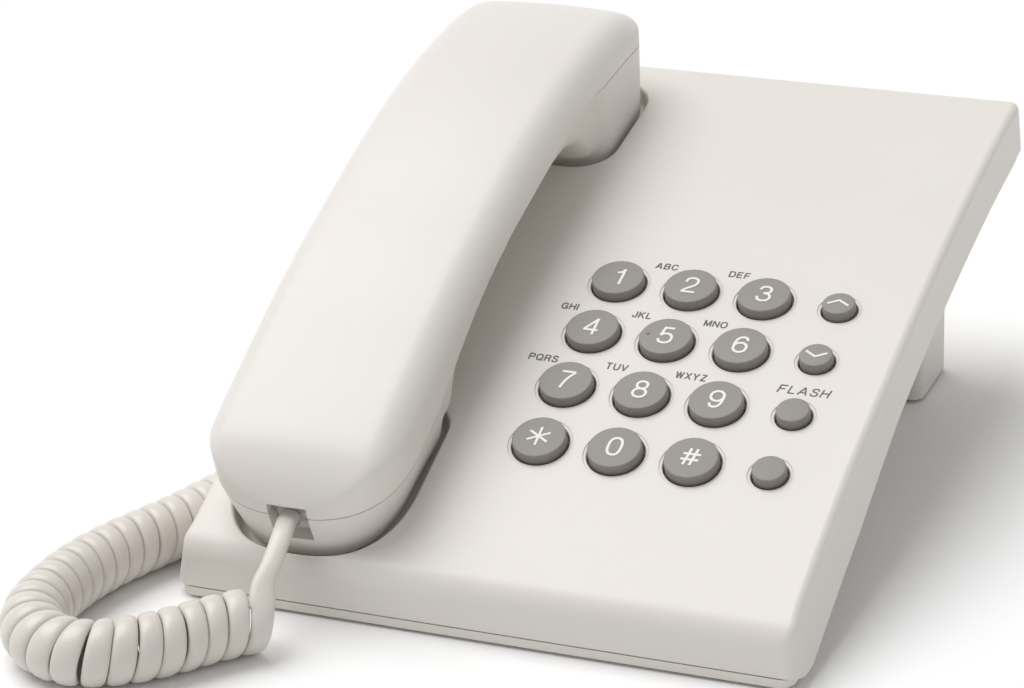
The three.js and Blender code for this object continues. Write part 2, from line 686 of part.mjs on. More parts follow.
const shellSolid = topShell();
const coverSolid = bottomCover();
const opened = (solid) => wallOpenings.reduce((left, opening) => left.subtract(opening), solid);

// ---------------------------------------------------------------- hook plunger, where the ear end rests
const hookDistance = 8.5;         // behind the front of the ear block
const hookV = earBlockFront + hookDistance;
const hookTravel = 2.5;
const hookStemRadius = 3;
const hookStemGap = 0.4;
const hookPlateSize = [14, 8, 1];
const hookPlateShift = 3;
const hookPoint = new THREE.Vector3(handsetX, hookV, topAt(hookV) - pocketDepth).applyMatrix4(cradle);
const pocketFloorSlope = chordTilt + Math.atan((topAt(hookV + 5) - topAt(hookV - 5)) / 10);
const pocketUnder = hookPoint.z - baseWall / Math.cos(pocketFloorSlope);
const plateReach = Math.tan(pocketFloorSlope) * (hookPlateSize[1] / 2);
const plateTop = pocketUnder - plateReach - seatGap - hookTravel;
const plateBottom = plateTop - hookPlateSize[2];
const stemTop = hookPoint.z - Math.tan(pocketFloorSlope) * hookStemRadius - 0.1;

addPiece('base_top_shell',
  opened(shellSolid).subtract(pillar(hookStemRadius + hookStemGap, hookPoint.z - 12, hookPoint.z + 5,
    hookPoint.x, hookPoint.y, 16)), casingWhite);
addPiece('base_bottom_cover', opened(coverSolid), casingWhite);

addPiece('hook_plunger', pillar(hookStemRadius, plateBottom, stemTop, hookPoint.x, hookPoint.y, 16)
  .add(toSolid(box(...hookPlateSize, hookPoint.x + hookPlateShift, hookPoint.y,
    (plateTop + plateBottom) / 2))),
plasticBlack);

const springInner = 1.5;
const springOuter = 2.4;
const springRise = Math.tan(pocketFloorSlope) * (springOuter + 0.2);
const springLow = bellyFloor(hookPoint.y) + springRise + 0.1;
const springHigh = plateBottom - seatGap;
const springSection = [[springInner, springLow], [springOuter, springLow], [springOuter, springHigh],
  [springInner, springHigh], [springInner, springLow]];
addPiece('hook_spring', turned(springSection, pinSides).translate(hookPoint.x, hookPoint.y, 0), steel);

const switchSize = [5, 6];
const switchFoot = bellyFloor(hookPoint.y) + switchSize[1] / 2 * Math.tan(pocketFloorSlope);
const switchTop = plateBottom - seatGap;
const switchX = hookPoint.x + hookPlateShift + (hookPlateSize[0] - switchSize[0]) / 2;
addPiece('hook_switch', box(...switchSize, switchTop - switchFoot, switchX, hookPoint.y,
  (switchTop + switchFoot) / 2), plasticBlack);

// ---------------------------------------------------------------- keys, mat and board
function keyGeometry(radius, sides) {
  const foot = flangeTop - keyFlangeHeight;
  return turned([[0, foot], [radius + keyFlangeWidth, foot], [radius + keyFlangeWidth, flangeTop],
    [radius, flangeTop], ...keyEdge.map(([inwards, down]) => [radius - inwards, keyHeight - down]),
    [0, keyHeight + keyCrown]], sides);
}

rows.forEach((s, r) => columns.forEach((x, c) => {
  const radius = keyRadius(c);
  const geometry = keyGeometry(radius, keySidesOf(c));
  const frame = new THREE.Group();
  frame.applyMatrix4(frameAt(x, s));
  model.add(frame);
  const name = keyNames[r][c];
  if (name === 'key_5') {
    const nib = toSolid(drum(nibRadius, keyHeight - nibRadius, keyHeight + nibHeight, nibPlace, 0, 8));
    addPiece(name, toSolid(geometry).add(nib), keyGrey, frame);
  } else {
    addPiece(name, geometry, keyGrey, frame);
  }
}));

const pad = new THREE.Group();
pad.applyMatrix4(padFrame);
model.add(pad);
const toPad = padFrame.clone().invert();

let mat = toSolid(box(2 * (padHalfX + matMargin), 2 * (padHalfY + matMargin), matThickness,
  0, 0, matTop - matThickness / 2));
columns.forEach((x, c) => rows.forEach((s) => {
  const foot = keyRadius(c) - domeInset;
  const dome = drum(foot, matTop - matThickness / 2, domeTop, 0, 0, domeSides, foot - domeTaper);
  mat = mat.add(toSolid(dome).transform(toPad.clone().multiply(frameAt(x, s)).elements));
}));
for (const x of boardPosts) {
  mat = mat.subtract(pillar(boardScrewHead + screwHeadRoom, -farAway, farAway, x, 0, 12));
}
addPiece('keypad_mat', mat, matGrey, pad);

let board = toSolid(box(2 * (padHalfX + boardSideMargin), 2 * (padHalfY + boardMargin), boardThickness,
  0, 0, boardTop - boardThickness / 2));
for (const x of boardPosts) {
  board = board.subtract(pillar(boardScrewRadius + screwHoleGap, -farAway, farAway, x, 0, shankSides));
}
addPiece('main_board', board, boardGreen, pad);

// A cross-headed screw, its head's face at 0.
const slotWidth = 0.9;
const slotDepth = 1;
const slotReach = 1.4;            // times the head's radius
function screwSolid(headRadius, headHeight, shankRadius, length, sides = 14) {
  const reach = slotReach * headRadius;
  const slot = toSolid(box(slotWidth, reach, slotDepth)).add(toSolid(box(reach, slotWidth, slotDepth)));
  return toSolid(drum(headRadius, 0, headHeight, 0, 0, sides))
    .add(toSolid(drum(shankRadius, headHeight / 2 + slotDepth / 4, headHeight + length, 0, 0, shankSides)))
    .subtract(slot);
}

const boardScrew = screwSolid(boardScrewHead, boardScrewHeadHeight, boardScrewRadius, boardScrewLength);
boardPosts.forEach((x, i) => {
  const screw = addPiece(`board_screw_${i + 1}`, boardScrew, steel, pad);
  screw.position.set(x, 0, boardTop + seatGap + boardScrewHeadHeight);
  screw.rotation.x = Math.PI;
});

const baseScrew = screwSolid(screwHeadRadius, screwHeadHeight, screwShankRadius, screwLength);
baseScrewPlaces.forEach(([x, distance], i) => {
  const y = atDepth(distance);
  const screw = addPiece(`base_screw_${i + 1}`, baseScrew, steel);
  screw.position.set(x, y, bellyHeight(y) + screwSeatHeight - seatGap - screwHeadHeight);
});

// ---------------------------------------------------------------- sounder, sockets, ringer switch
const sounder = new THREE.Group();
sounder.applyMatrix4(frameAt(sounderX, sounderS));
model.add(sounder);
const sounderLow = -(bellyDrop - coverWall) * Math.cos(slopeAt(sounderS)) + seatGap + 0.15;
const sounderTop = sounderLow + sounderHeight;
const sounderProfile = [[0, sounderLow], [sounderRadius, sounderLow],
  [sounderRadius, sounderTop - sounderEdge], [sounderRadius - sounderEdge, sounderTop],
  [sounderHole, sounderTop], [sounderHole, sounderTop - sounderEdge], [0, sounderTop - sounderEdge]];
addPiece('ringer_sounder', turned(sounderProfile, 20), plasticBlack, sounder);

const lineJack = addPiece('line_jack', socket(lineSocketWidth), plasticBlack);
lineJack.applyMatrix4(lineJackFrame);
const sideJack = addPiece('base_cord_jack', socket(socketWidth), plasticBlack);
sideJack.applyMatrix4(sideJackFrame);

const ringerSwitchY = ringerY - ringerSwitchBack;
const knobFace = rearY - ringerKnobSink;
addPiece('ringer_switch', box(...ringerSwitchSize, ringerX, ringerSwitchY - ringerSwitchSize[1] / 2 - seatGap,
  lineJackHeight), plasticBlack);
addPiece('ringer_knob', box(ringerKnobWidth, knobFace - ringerSwitchY, ringerKnobHeight, ringerX,
  (knobFace + ringerSwitchY) / 2, lineJackHeight), keyGrey);

// ---------------------------------------------------------------- stand and feet
function standSolid() {
  const low = standFootHeight;
  const plan = roundedRectangle(-standHalfWidth, standHalfWidth, atDepth(standFront), atDepth(standRear),
    standCorner, standCorner, 3);
  const middle = atDepth((standFront + standRear) / 2);
  const roof = halfSpace(bellyHeight, -seatGap, false);
  let stand = toSolid(slabGeometry(plan, low, 90)).intersect(roof);
  const room = toSolid(box(2 * (standHalfWidth - standCheek), standRear - standFront - 2 * standWall,
    2 * farAway, 0, middle, 0)).intersect(halfSpace(bellyHeight, -seatGap - standWall, false));
  stand = stand.subtract(room);
  for (const x of tabPlaces) {
    const top = bellyHeight(middle) + coverWall + tabReach;
    const foot = bellyHeight(middle) - standWall;
    stand = stand.add(toSolid(box(tabWidth, tabThickness, top - foot, x, middle, (top + foot) / 2)));
  }
  return stand;
}
addPiece('desk_stand', standSolid(), casingWhite);

['left', 'right'].forEach((side, i) => {
  const sign = i * 2 - 1;
  const [w, d] = frontFootSize;
  const top = coverFrontHeight + footSink - seatGap;
  const plan = roundedRectangle(-w / 2, w / 2, -d / 2, d / 2, footCorner, footCorner, 2);
  addPiece(`front_foot_${side}`, slabGeometry(plan, 0, top)
    .translate(sign * frontFootX, atDepth(frontFootDistance), 0), rubberBlack);
  const standFootTop = standFootHeight - seatGap;
  const [width, length] = standFootSize;
  const outline = roundedRectangle(-width / 2, width / 2, -length / 2, length / 2, footCorner, footCorner, 2);
  const foot = slabGeometry(outline, 0, standFootTop)
    .translate(sign * (standHalfWidth - standCheek / 2), atDepth((standFront + standRear) / 2), 0);
  addPiece(`stand_foot_${side}`, foot, rubberBlack);
});

// ---------------------------------------------------------------- handset
const handset = new THREE.Group();
handset.applyMatrix4(cradle);
model.add(handset);

const blockBottom = (v) => topAt(v) - pocketDepth + seatGap;

function aboveBottom(front, rear, lift) {
  const vs = [front - farAway, front + floorEnd, (front + rear) / 2, rear - floorEnd, rear + farAway];
  const line = vs.map((v) => [v, blockBottom(THREE.MathUtils.clamp(v, front, rear)) + lift]);
  const outline = [...line, [rear + farAway, farAway], [front - farAway, farAway]];
  return toSolid(sideSlab(outline, -farAway, farAway));
}

function mouthBlock(inset, lift) {
  const outline = mouthOutline(inset, mouthBlockRear, pocketCorner);
  const geometry = slabGeometry(outline, -22, 22, 0, 2);
  const drawn = reshape(geometry, (p) => drawIn(p, (v) => readAt(partingLine, v)));
  return toSolid(drawn).intersect(aboveBottom(handsetFront, mouthBlockRear, lift));
}

function earBlock(inset, lift) {
  const geometry = reshape(slabGeometry(earOutline(inset, earBlockFront, earBlockCorner), -12, 40), leanRear);
  return toSolid(geometry).intersect(aboveBottom(earBlockFront, earRear, lift));
}

function handle(inset) {
  const from = undersideLine[0][0] - handleReach;
  const to = undersideLine.at(-1)[0] + handleReach;
  const line = lowered(underside, -inset);
  const a = handsetHalfWidth - handleInset - inset;
  return toSolid(sideSlab([[from, line[0][1]], ...line, [to, line.at(-1)[1]], [to, 60], [from, 60]],
    handsetX - a, handsetX + a, Math.max(handleRounding - inset, 1), 1, 3));
}

// Sockets, microphone, receiver and their seats.
const jackFront = 8.4;
const jackHeight = 9;
const jackSeatSize = 8;
const notchWidth = 10.4;
const notchLow = 3;
const notchHigh = 13;
const micV = 31;
const micRadius = 4.8;
const micHeight = 4;
const bootWall = 1.4;
const receiverDistance = 20.5;    // behind the front of the ear block
const receiverV = earBlockFront + receiverDistance;
const receiverRadius = 14.5;
const receiverHeight = 7;
const gasketHeight = 1;
const gasketHole = 9.5;
const handsetScrews = [74, 124];
const handsetScrewSeat = 2.6;     // above the underside of the handle
const handsetPostRadius = 4.4;
const handsetPostHeight = 4.6;
const handsetScrewHead = 1.6;
const handsetScrewLength = 5.6;
const earHoleRadius = 1.2;
const earHoleRing = 5;
const mouthHoleRadius = 0.7;
const mouthHolePitch = 2;
const notch = toSolid(box(notchWidth, 24, notchHigh - notchLow, handsetX, jackFront - seatGap - 12,
  (notchHigh + notchLow) / 2));

const bottomFrame = (v) => new THREE.Matrix4()
  .makeRotationX(Math.atan((blockBottom(v + 3) - blockBottom(v - 3)) / 6))
  .setPosition(handsetX, v, blockBottom(v) + handsetWall);
const inBottomFrame = (solid, v) => solid.transform(bottomFrame(v).elements);

function innerShell() {
  let shell = mouthBlock(0, 0).add(earBlock(0, 0)).add(handle(0)).intersect(wholeOutline(0));
  shell = shell.intersect(pastParting(-casingGap, false));
  shell = shell.subtract(mouthBlock(handsetWall, handsetWall)).subtract(earBlock(handsetWall, handsetWall))
    .subtract(handle(handsetWall));
  const seatTop = jackHeight - socketHeight / 2 - socketWall - seatGap;
  const jackSeat = toSolid(box(jackSeatSize, jackSeatSize, seatTop + pocketDepth, handsetX,
    jackFront + jackSeatSize, (seatTop - pocketDepth) / 2));
  shell = shell.add(jackSeat.intersect(aboveBottom(handsetFront, mouthBlockRear, handsetWall / 2)));
  for (const v of handsetScrews) {
    const low = readAt(underside, v);
    shell = shell.add(pillar(handsetPostRadius, low + 1, low + handsetPostHeight, handsetX, v))
      .subtract(pillar(screwHeadRadius + screwHoleGap, -farAway, low + handsetScrewSeat, handsetX, v))
      .subtract(pillar(screwShankRadius + screwHoleGap, low, farAway, handsetX, v, shankSides));
  }
  const around = [0, 1, 2, 3, 4, 5].map((i) => (i * Math.PI) / 3);
  const soundHoles = [[0, 0], ...around.map((a) => [earHoleRing * Math.cos(a), earHoleRing * Math.sin(a)])];
  for (const [x, y] of soundHoles) {
    const hole = pillar(earHoleRadius, -2 * handsetWall, handsetWall, x, y, shankSides);
    shell = shell.subtract(inBottomFrame(hole, receiverV));
  }
  for (const x of [-mouthHolePitch, 0, mouthHolePitch]) {
    const hole = pillar(mouthHoleRadius, -2 * handsetWall, handsetWall, x, 0, 6);
    shell = shell.subtract(inBottomFrame(hole, micV));
  }
  return shell.subtract(notch);
}

function outerShell() {
  let shell = crownSolid(0, shoulderRadius).intersect(pastParting(0, true))
    .subtract(crownSolid(handsetWall, shoulderRadius - handsetWall));
  for (const v of handsetScrews) {
    const low = readAt(underside, v) + handsetPostHeight + seatGap;
    const tip = readAt(underside, v) + handsetScrewSeat + handsetScrewLength + screwEndRoom;
    const post = pillar(handsetPostRadius - 1, low, farAway, handsetX, v);
    shell = shell.add(post.intersect(crownSolid(handsetWall / 2, shoulderRadius)))
      .subtract(pillar(screwShankRadius + screwHoleGap, -farAway, tip, handsetX, v, shankSides));
  }
  return shell.subtract(notch);
}

addPiece('handset_inner_shell', innerShell(), casingWhite, handset);
addPiece('handset_outer_shell', outerShell(), casingWhite, handset);

const handsetScrew = screwSolid(screwHeadRadius, handsetScrewHead, screwShankRadius, handsetScrewLength);
handsetScrews.forEach((v, i) => {
  const screw = addPiece(`handset_screw_${i + 1}`, handsetScrew, steel, handset);
  screw.position.set(handsetX, v, readAt(underside, v) + handsetScrewSeat - seatGap - handsetScrewHead);
});

const jackFrame = new THREE.Matrix4().makeRotationZ(Math.PI).setPosition(handsetX, jackFront, jackHeight);
addPiece('handset_cord_jack', socket(socketWidth), plasticBlack, handset).applyMatrix4(jackFrame);

function tiltedPiece(name, v, geometry, look) {
  const piece = addPiece(name, geometry, look, handset);
  piece.applyMatrix4(bottomFrame(v));
}
const ring = (inner, outer, low, high, sides) =>
  turned([[inner, low], [outer, low], [outer, high], [inner, high], [inner, low]], sides);
const seat = seatGap + 0.1;
const boot = ring(micRadius + seatGap, micRadius + bootWall, seat, micHeight + 1, pinSides);
tiltedPiece('microphone_boot', micV, boot, rubberBlack);
tiltedPiece('microphone', micV, drum(micRadius, seat, micHeight + seat, 0, 0, pinSides), steel);
const gasket = ring(gasketHole, receiverRadius - 1, seat, seat + gasketHeight, 20);
tiltedPiece('receiver_gasket', receiverV, gasket, rubberBlack);
const receiverLow = seat + gasketHeight + seatGap;
tiltedPiece('receiver_capsule', receiverV, turned([[0, receiverLow], [receiverRadius, receiverLow],
  [receiverRadius, receiverLow + 3], [receiverRadius - 3, receiverLow + receiverHeight],
  [0, receiverLow + receiverHeight]], 22), plasticBlack);

const weightSize = [26, 34, 5];
const weightV = 99;
const weightLow = readAt(underside, weightV) + handsetWall + seatGap + 0.3;
addPiece('handset_weight', box(...weightSize, handsetX, weightV, weightLow + weightSize[2] / 2), steel,
  handset);

// ---------------------------------------------------------------- plugs
const plugWidth = 7.7;
const plugHeight = 5.2;
const plugShift = 0.6;            // its body sits this far off the socket's middle, for the latch
const plugLength = 12.4;
const plugReach = 2.4;            // how far its end stands out of the socket's mouth
const latchWidth = 3;
const latchThickness = 0.8;
const latchGap = 0.4;

// A plug that points towards -Y, its cord end at y = 0.
function plugSolid() {
  const body = toSolid(box(plugWidth, plugLength, plugHeight, 0, -plugLength / 2, plugShift));
  const under = plugShift - plugHeight / 2;
  const latch = toSolid(box(latchWidth, plugLength - 1.5, latchThickness, 0, -plugLength / 2 + 1.4,
    under - latchGap - latchThickness / 2));
  const root = toSolid(box(latchWidth, 1.6, latchThickness + 1, 0, -plugLength + 1.6, under - 0.3));
  return body.add(latch).add(root);
}
const handsetPlug = addPiece('handset_plug', plugSolid(), clearPlastic, handset);
const handsetPlugFrame = new THREE.Matrix4().makeRotationZ(Math.PI)
  .setPosition(handsetX, jackFront - plugReach, jackHeight);
handsetPlug.applyMatrix4(handsetPlugFrame);
const basePlugFrame = sideJackFrame.clone().multiply(new THREE.Matrix4().setPosition(0, plugReach, 0));
const basePlug = addPiece('base_plug', plugSolid(), clearPlastic);
basePlug.applyMatrix4(basePlugFrame);

// ---------------------------------------------------------------- the curly cord
const coilRadius = (coilDiameter - wireThickness) / 2;
const coilCentre = new THREE.CatmullRomCurve3(
  coilRoute.map(([x, y]) => new THREE.Vector3(x, y, coilDiameter / 2)), false, 'centripetal');
const upward = new THREE.Vector3(0, 0, 1);

// The coil's own directions at a share t of its length.
function coilFrame(t) {
  const along = coilCentre.getTangentAt(t);
  const outward = new THREE.Vector3().crossVectors(upward, along).normalize();
  return { along, outward, centre: coilCentre.getPointAt(t) };
}

// The wire's place after so many turns. Each turn starts on top and comes down on the outside.
function coilPoint(turn) {
  const { along, outward, centre } = coilFrame(THREE.MathUtils.clamp(turn / coilTurns, 0, 1));
  const a = 2 * Math.PI * turn;
  return centre.addScaledVector(outward, coilRadius * Math.sin(a))
    .addScaledVector(upward, coilRadius * Math.cos(a))
    .addScaledVector(along, (coilLean / 2) * Math.cos(a));
}

// Half the wire's width at a turn: it is drawn in where the coil bends and its turns crowd.
function wireHalfWidth(turn) {
  const here = coilPoint(turn);
  const gaps = [turn - 1, turn + 1].filter((other) => other >= 0 && other <= coilTurns)
    .map((other) => here.distanceTo(coilPoint(other)));
  return Math.min(wireWidth / 2, (Math.min(...gaps) - leastCoilGap * 1.2) / 2);
}

// One unbroken tube of five-sided rings, with a straight end on each side.
function coilGeometry() {
  const rings = [];
  const count = Math.round((coilLastTurn - coilFirstTurn) * stepsPerTurn);
  const wireAt = (turn) => {
    const { along, outward } = coilFrame(THREE.MathUtils.clamp(turn / coilTurns, 0, 1));
    const a = 2 * Math.PI * turn;
    const heading = coilPoint(turn + 0.02).sub(coilPoint(turn - 0.02)).normalize();
    const thick = outward.multiplyScalar(Math.sin(a)).addScaledVector(upward, Math.cos(a));
    thick.addScaledVector(heading, -thick.dot(heading)).normalize();
    const wide = new THREE.Vector3().crossVectors(heading, thick);
    return { place: coilPoint(turn), heading, thick, wide, half: wireHalfWidth(turn) };
  };
  for (let i = 0; i <= count; i++) {
    rings.push(wireAt(coilFirstTurn + ((coilLastTurn - coilFirstTurn) * i) / count));
  }
  const straight = (ring, by) => ({ ...ring, place: ring.place.clone().addScaledVector(ring.heading, by) });
  rings.unshift(straight(rings[0], -wireThickness));
  rings.push(straight(rings.at(-1), wireThickness));
  const places = [];
  for (const { place, thick, wide, half } of rings) {
    for (let k = 0; k < sidesOfWire; k++) {
      const b = (2 * Math.PI * k) / sidesOfWire + Math.PI / 2;
      const p = place.clone().addScaledVector(thick, (wireThickness / 2) * Math.sin(b))
        .addScaledVector(wide, half * Math.cos(b));
      places.push(p);
    }
  }
  const faces = [];
  const last = (rings.length - 1) * sidesOfWire;
  for (let i = 0; i < rings.length - 1; i++) {
    for (let k = 0; k < sidesOfWire; k++) {
      const a = i * sidesOfWire + k;
      const b = i * sidesOfWire + ((k + 1) % sidesOfWire);
      faces.push(a, a + sidesOfWire, b, b, a + sidesOfWire, b + sidesOfWire);
    }
  }
  for (let k = 1; k < sidesOfWire - 1; k++) {
    faces.push(0, k, k + 1);
    faces.push(last, last + k + 1, last + k);
  }
  const geometry = new THREE.BufferGeometry().setFromPoints(places);
  geometry.setIndex(faces);
  geometry.computeVertexNormals();
  return { geometry, rings, places };
}

// The least gap between points of the wire that are more than half a turn apart.
function leastGap(places) {
  let least = Infinity;
  const far = (stepsPerTurn / 2 + 1) * sidesOfWire;
  for (let i = 0; i < places.length; i++) {
    for (let j = i + far; j < places.length; j++) least = Math.min(least, places[i].distanceTo(places[j]));
  }
  return least;
}

const coil = coilGeometry();
console.log(`coil: ${coilTurns} turns, centre line ${coilCentre.getLength().toFixed(0)} mm, ` +
  `least gap between turns ${leastGap(coil.places).toFixed(2)} mm`);
addPiece('cord_coil', coil.geometry, cordWhite);

// A free stretch of cord: straight out of one end, through hand-chosen points and straight
// into the other.
function leadGeometry(from, through, to, spacing = 2.4 * leadDiameter) {
  const straight = 0.6 * leadDiameter;
  const ends = [from, to].map(({ place, heading }) =>
    [place, place.clone().addScaledVector(heading, straight)]);
  const points = [...ends[0], ...through.map((p) => new THREE.Vector3(...p)), ends[1][1], ends[1][0]];
  const curve = new THREE.CatmullRomCurve3(points, false, 'centripetal');
  const section = new THREE.Shape().absarc(0, 0, leadDiameter / 2, 0, 2 * Math.PI);
  const steps = Math.max(8, Math.ceil(curve.getLength() / (spacing / 3)));
  const round = shapeOf(section.getSpacedPoints(10).slice(0, 10).map((p) => [p.x, p.y]));
  console.log(`lead of ${curve.getLength().toFixed(0)} mm`);
  return new THREE.ExtrudeGeometry(round, { steps, extrudePath: curve, bevelEnabled: false });
}

// An end of a cord, seatGap off the face that it meets.
const placeOn = (frame, direction) => {
  const heading = new THREE.Vector3(...direction).transformDirection(frame);
  const place = new THREE.Vector3().setFromMatrixPosition(frame).addScaledVector(heading, seatGap);
  return { place, heading };
};
const coilEnd = (ring, sign) => {
  const heading = ring.heading.clone().multiplyScalar(sign);
  return { place: ring.place.clone().addScaledVector(heading, seatGap), heading };
};
model.updateMatrixWorld(true);
addPiece('cord_lead_handset', leadGeometry(placeOn(handsetPlug.matrixWorld, [0, 1, 0]), handsetLeadRoute,
  coilEnd(coil.rings[0], -1)), cordWhite);
addPiece('cord_lead_base', leadGeometry(coilEnd(coil.rings.at(-1), 1), baseLeadRoute,
  placeOn(basePlug.matrixWorld, [0, 1, 0])), cordWhite);

export default model;
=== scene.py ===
import json
import math
from bisect import bisect_right

import bmesh
import bpy
from mathutils import Matrix, Vector


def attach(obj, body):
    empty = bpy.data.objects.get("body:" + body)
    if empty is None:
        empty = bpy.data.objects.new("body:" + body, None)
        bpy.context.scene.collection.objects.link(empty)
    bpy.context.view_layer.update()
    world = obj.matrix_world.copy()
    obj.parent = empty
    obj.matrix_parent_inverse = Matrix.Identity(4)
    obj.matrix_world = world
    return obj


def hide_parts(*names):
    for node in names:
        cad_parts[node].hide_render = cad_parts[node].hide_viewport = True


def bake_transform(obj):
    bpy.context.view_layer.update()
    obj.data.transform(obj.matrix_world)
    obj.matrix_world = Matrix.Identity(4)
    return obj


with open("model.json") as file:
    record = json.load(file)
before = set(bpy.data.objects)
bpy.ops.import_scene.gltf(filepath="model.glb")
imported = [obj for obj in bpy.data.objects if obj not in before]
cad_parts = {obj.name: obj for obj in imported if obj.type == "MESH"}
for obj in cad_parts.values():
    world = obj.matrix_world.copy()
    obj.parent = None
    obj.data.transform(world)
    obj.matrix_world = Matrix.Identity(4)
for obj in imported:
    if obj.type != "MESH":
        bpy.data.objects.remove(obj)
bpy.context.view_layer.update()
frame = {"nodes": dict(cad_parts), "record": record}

scene = bpy.context.scene
milli = 0.001                      # sizes below are in millimetres, the scene is in metres


# ---- sums used throughout
def clamped(share):
    return min(max(share, 0), 1)


def between(first, second, share):
    return first + (second - first) * share


def powered(value, power):         # keeps the value's sign
    return math.copysign(abs(value) ** power, value)


def quarter(steps):                # the angles of a quarter turn
    return [math.pi / 2 * i / steps for i in range(steps + 1)]


def fullTurn(steps):
    return [2 * math.pi * i / steps for i in range(steps)]


# ---- camera: the photograph's own point of view
camera = {
    "place": (269.8, -709.1, 363.7),
    "azimuth": 21.484,
    "elevation": 23.044,
    "roll": -1.712,
    "lens": 118.88,
    "shift": (-0.0723, -0.0274),
    "sensor": 36,
    "reach": 50,
}


def addCamera(values):
    azimuth, elevation, roll = (math.radians(values[k]) for k in ("azimuth", "elevation", "roll"))
    back = Vector((math.sin(azimuth) * math.cos(elevation),
                   -math.cos(azimuth) * math.cos(elevation), math.sin(elevation)))
    right = Vector((math.cos(azimuth), math.sin(azimuth), 0))
    up = back.cross(right)
    across = right * math.cos(roll) + up * math.sin(roll)
    upward = up * math.cos(roll) - right * math.sin(roll)
    data = bpy.data.cameras.new("photoCamera")
    data.sensor_width = values["sensor"]
    data.lens = values["lens"]
    data.shift_x, data.shift_y = values["shift"]
    data.clip_end = values["reach"]
    eye = bpy.data.objects.new("photoCamera", data)
    scene.collection.objects.link(eye)
    turn = Matrix((across, upward, back)).transposed().to_4x4()
    eye.matrix_world = Matrix.Translation(Vector(values["place"]) * milli) @ turn
    scene.camera = eye


addCamera(camera)
print("camera placed")


# ---- shapes shared by several pieces, as the solids have them
base = {
    "width": 150, "depth": 192, "topRadius": 668, "frontSlope": 25.27, "frontHeight": 13.7,
    "topLength": 200, "frontEdge": 7, "rearEdge": 2.2, "wall": 2.2, "seamFront": 3.2,
    "seamDrops": [(0, 14.4), (45, 14.2), (75, 11.6), (105, 11.6), (150, 12.1), (192, 12.4)],
}
halfWidth = base["width"] / 2
topRadius = base["topRadius"]
frontY = -base["depth"] / 2
rearY = base["depth"] / 2
frontSlope = math.radians(base["frontSlope"])
archY = frontY + topRadius * math.sin(frontSlope)
archZ = base["frontHeight"] - topRadius * math.cos(frontSlope)


def archHeight(y, inset=0):
    return archZ + math.sqrt((topRadius - inset) ** 2 - (y - archY) ** 2)


def slopeAt(s):
    return frontSlope - s / topRadius


def frameAt(x, s, height=0):       # on the top, its z square to the casing
    a, r = slopeAt(s), topRadius + height
    place = Vector((x, archY - r * math.sin(a), archZ + r * math.cos(a)))
    return Matrix.Translation(place) @ Matrix.Rotation(a, 4, "X")


def readAt(table, place):
    for (x0, y0), (x1, y1) in zip(table, table[1:]):
        if place <= x1 or (x1, y1) == table[-1]:
            return between(y0, y1, clamped((place - x0) / (x1 - x0)))


def seamHeight(y):
    return max(base["seamFront"], archHeight(y) - readAt(base["seamDrops"], y - frontY))


chordTilt = (slopeAt(0) + slopeAt(base["topLength"])) / 2
cradle = Matrix.Translation((0, frontY, base["frontHeight"])) @ Matrix.Rotation(chordTilt, 4, "X")
halfArc = base["topLength"] / (2 * topRadius)
halfChord = topRadius * math.sin(halfArc)


def topAt(v):                      # height of the base's top in the cradle's frame
    return math.sqrt(topRadius ** 2 - (v - halfChord) ** 2) - topRadius * math.cos(halfArc)


def smooth(points, count):         # the spline through the points that the solids use
    result = []
    for i in range(count + 1):
        place = (len(points) - 1) * i / count
        k = min(int(place), len(points) - 2)
        t = place - k
        p0, p1, p2, p3 = (points[min(max(k + d, 0), len(points) - 1)] for d in (-1, 0, 1, 2))
        result.append(tuple(
            ((2 * b - 2 * c + (c - a) / 2 + (d - b) / 2) * t ** 3
             + (3 * c - 3 * b - (c - a) - (d - b) / 2) * t ** 2 + (c - a) / 2 * t + b)
            for a, b, c, d in zip(p0, p1, p2, p3)))
    return result


def roundedRectangle(left, right, low, high, lowRadius, highRadius, steps=8):
    corners = [(right - lowRadius, low + lowRadius, lowRadius, -90),
               (right - highRadius, high - highRadius, highRadius, 0),
               (left + highRadius, high - highRadius, highRadius, 90),
               (left + lowRadius, low + lowRadius, lowRadius, 180)]
    outline = []
    for x, y, r, start in corners:
        for i in range(steps + 1):
            a = math.radians(start + 90 * i / steps)
            outline.append((x + r * math.cos(a), y + r * math.sin(a)))
    return outline


# ---- modelling helpers
def startPiece():
    bpy.ops.object.select_all(action="DESELECT")


def pick(piece):
    startPiece()
    piece.select_set(True)
    bpy.context.view_layer.objects.active = piece


def inEditMode(piece, work):       # on all of its faces
    pick(piece)
    bpy.ops.object.mode_set(mode="EDIT")
    bpy.ops.mesh.select_all(action="SELECT")
    work()
    bpy.ops.object.mode_set(mode="OBJECT")


def setPlaces(piece, places):
    piece.data.vertices.foreach_set("co", [c * milli for p in places for c in p])
    piece.data.update()


def tidyNormals():
    bpy.ops.mesh.select_all(action="SELECT")
    bpy.ops.mesh.normals_make_consistent(inside=False)


def prism(name, outline, move):    # an outline of 3-D points, pulled along move
    startPiece()
    bpy.ops.mesh.primitive_circle_add(vertices=len(outline), fill_type="NGON")
    piece = bpy.context.object
    piece.name = name
    setPlaces(piece, outline)

    def pull():
        bpy.ops.mesh.extrude_region_move(TRANSFORM_OT_translate={"value": Vector(move) * milli})
        tidyNormals()

    inEditMode(piece, pull)
    return piece


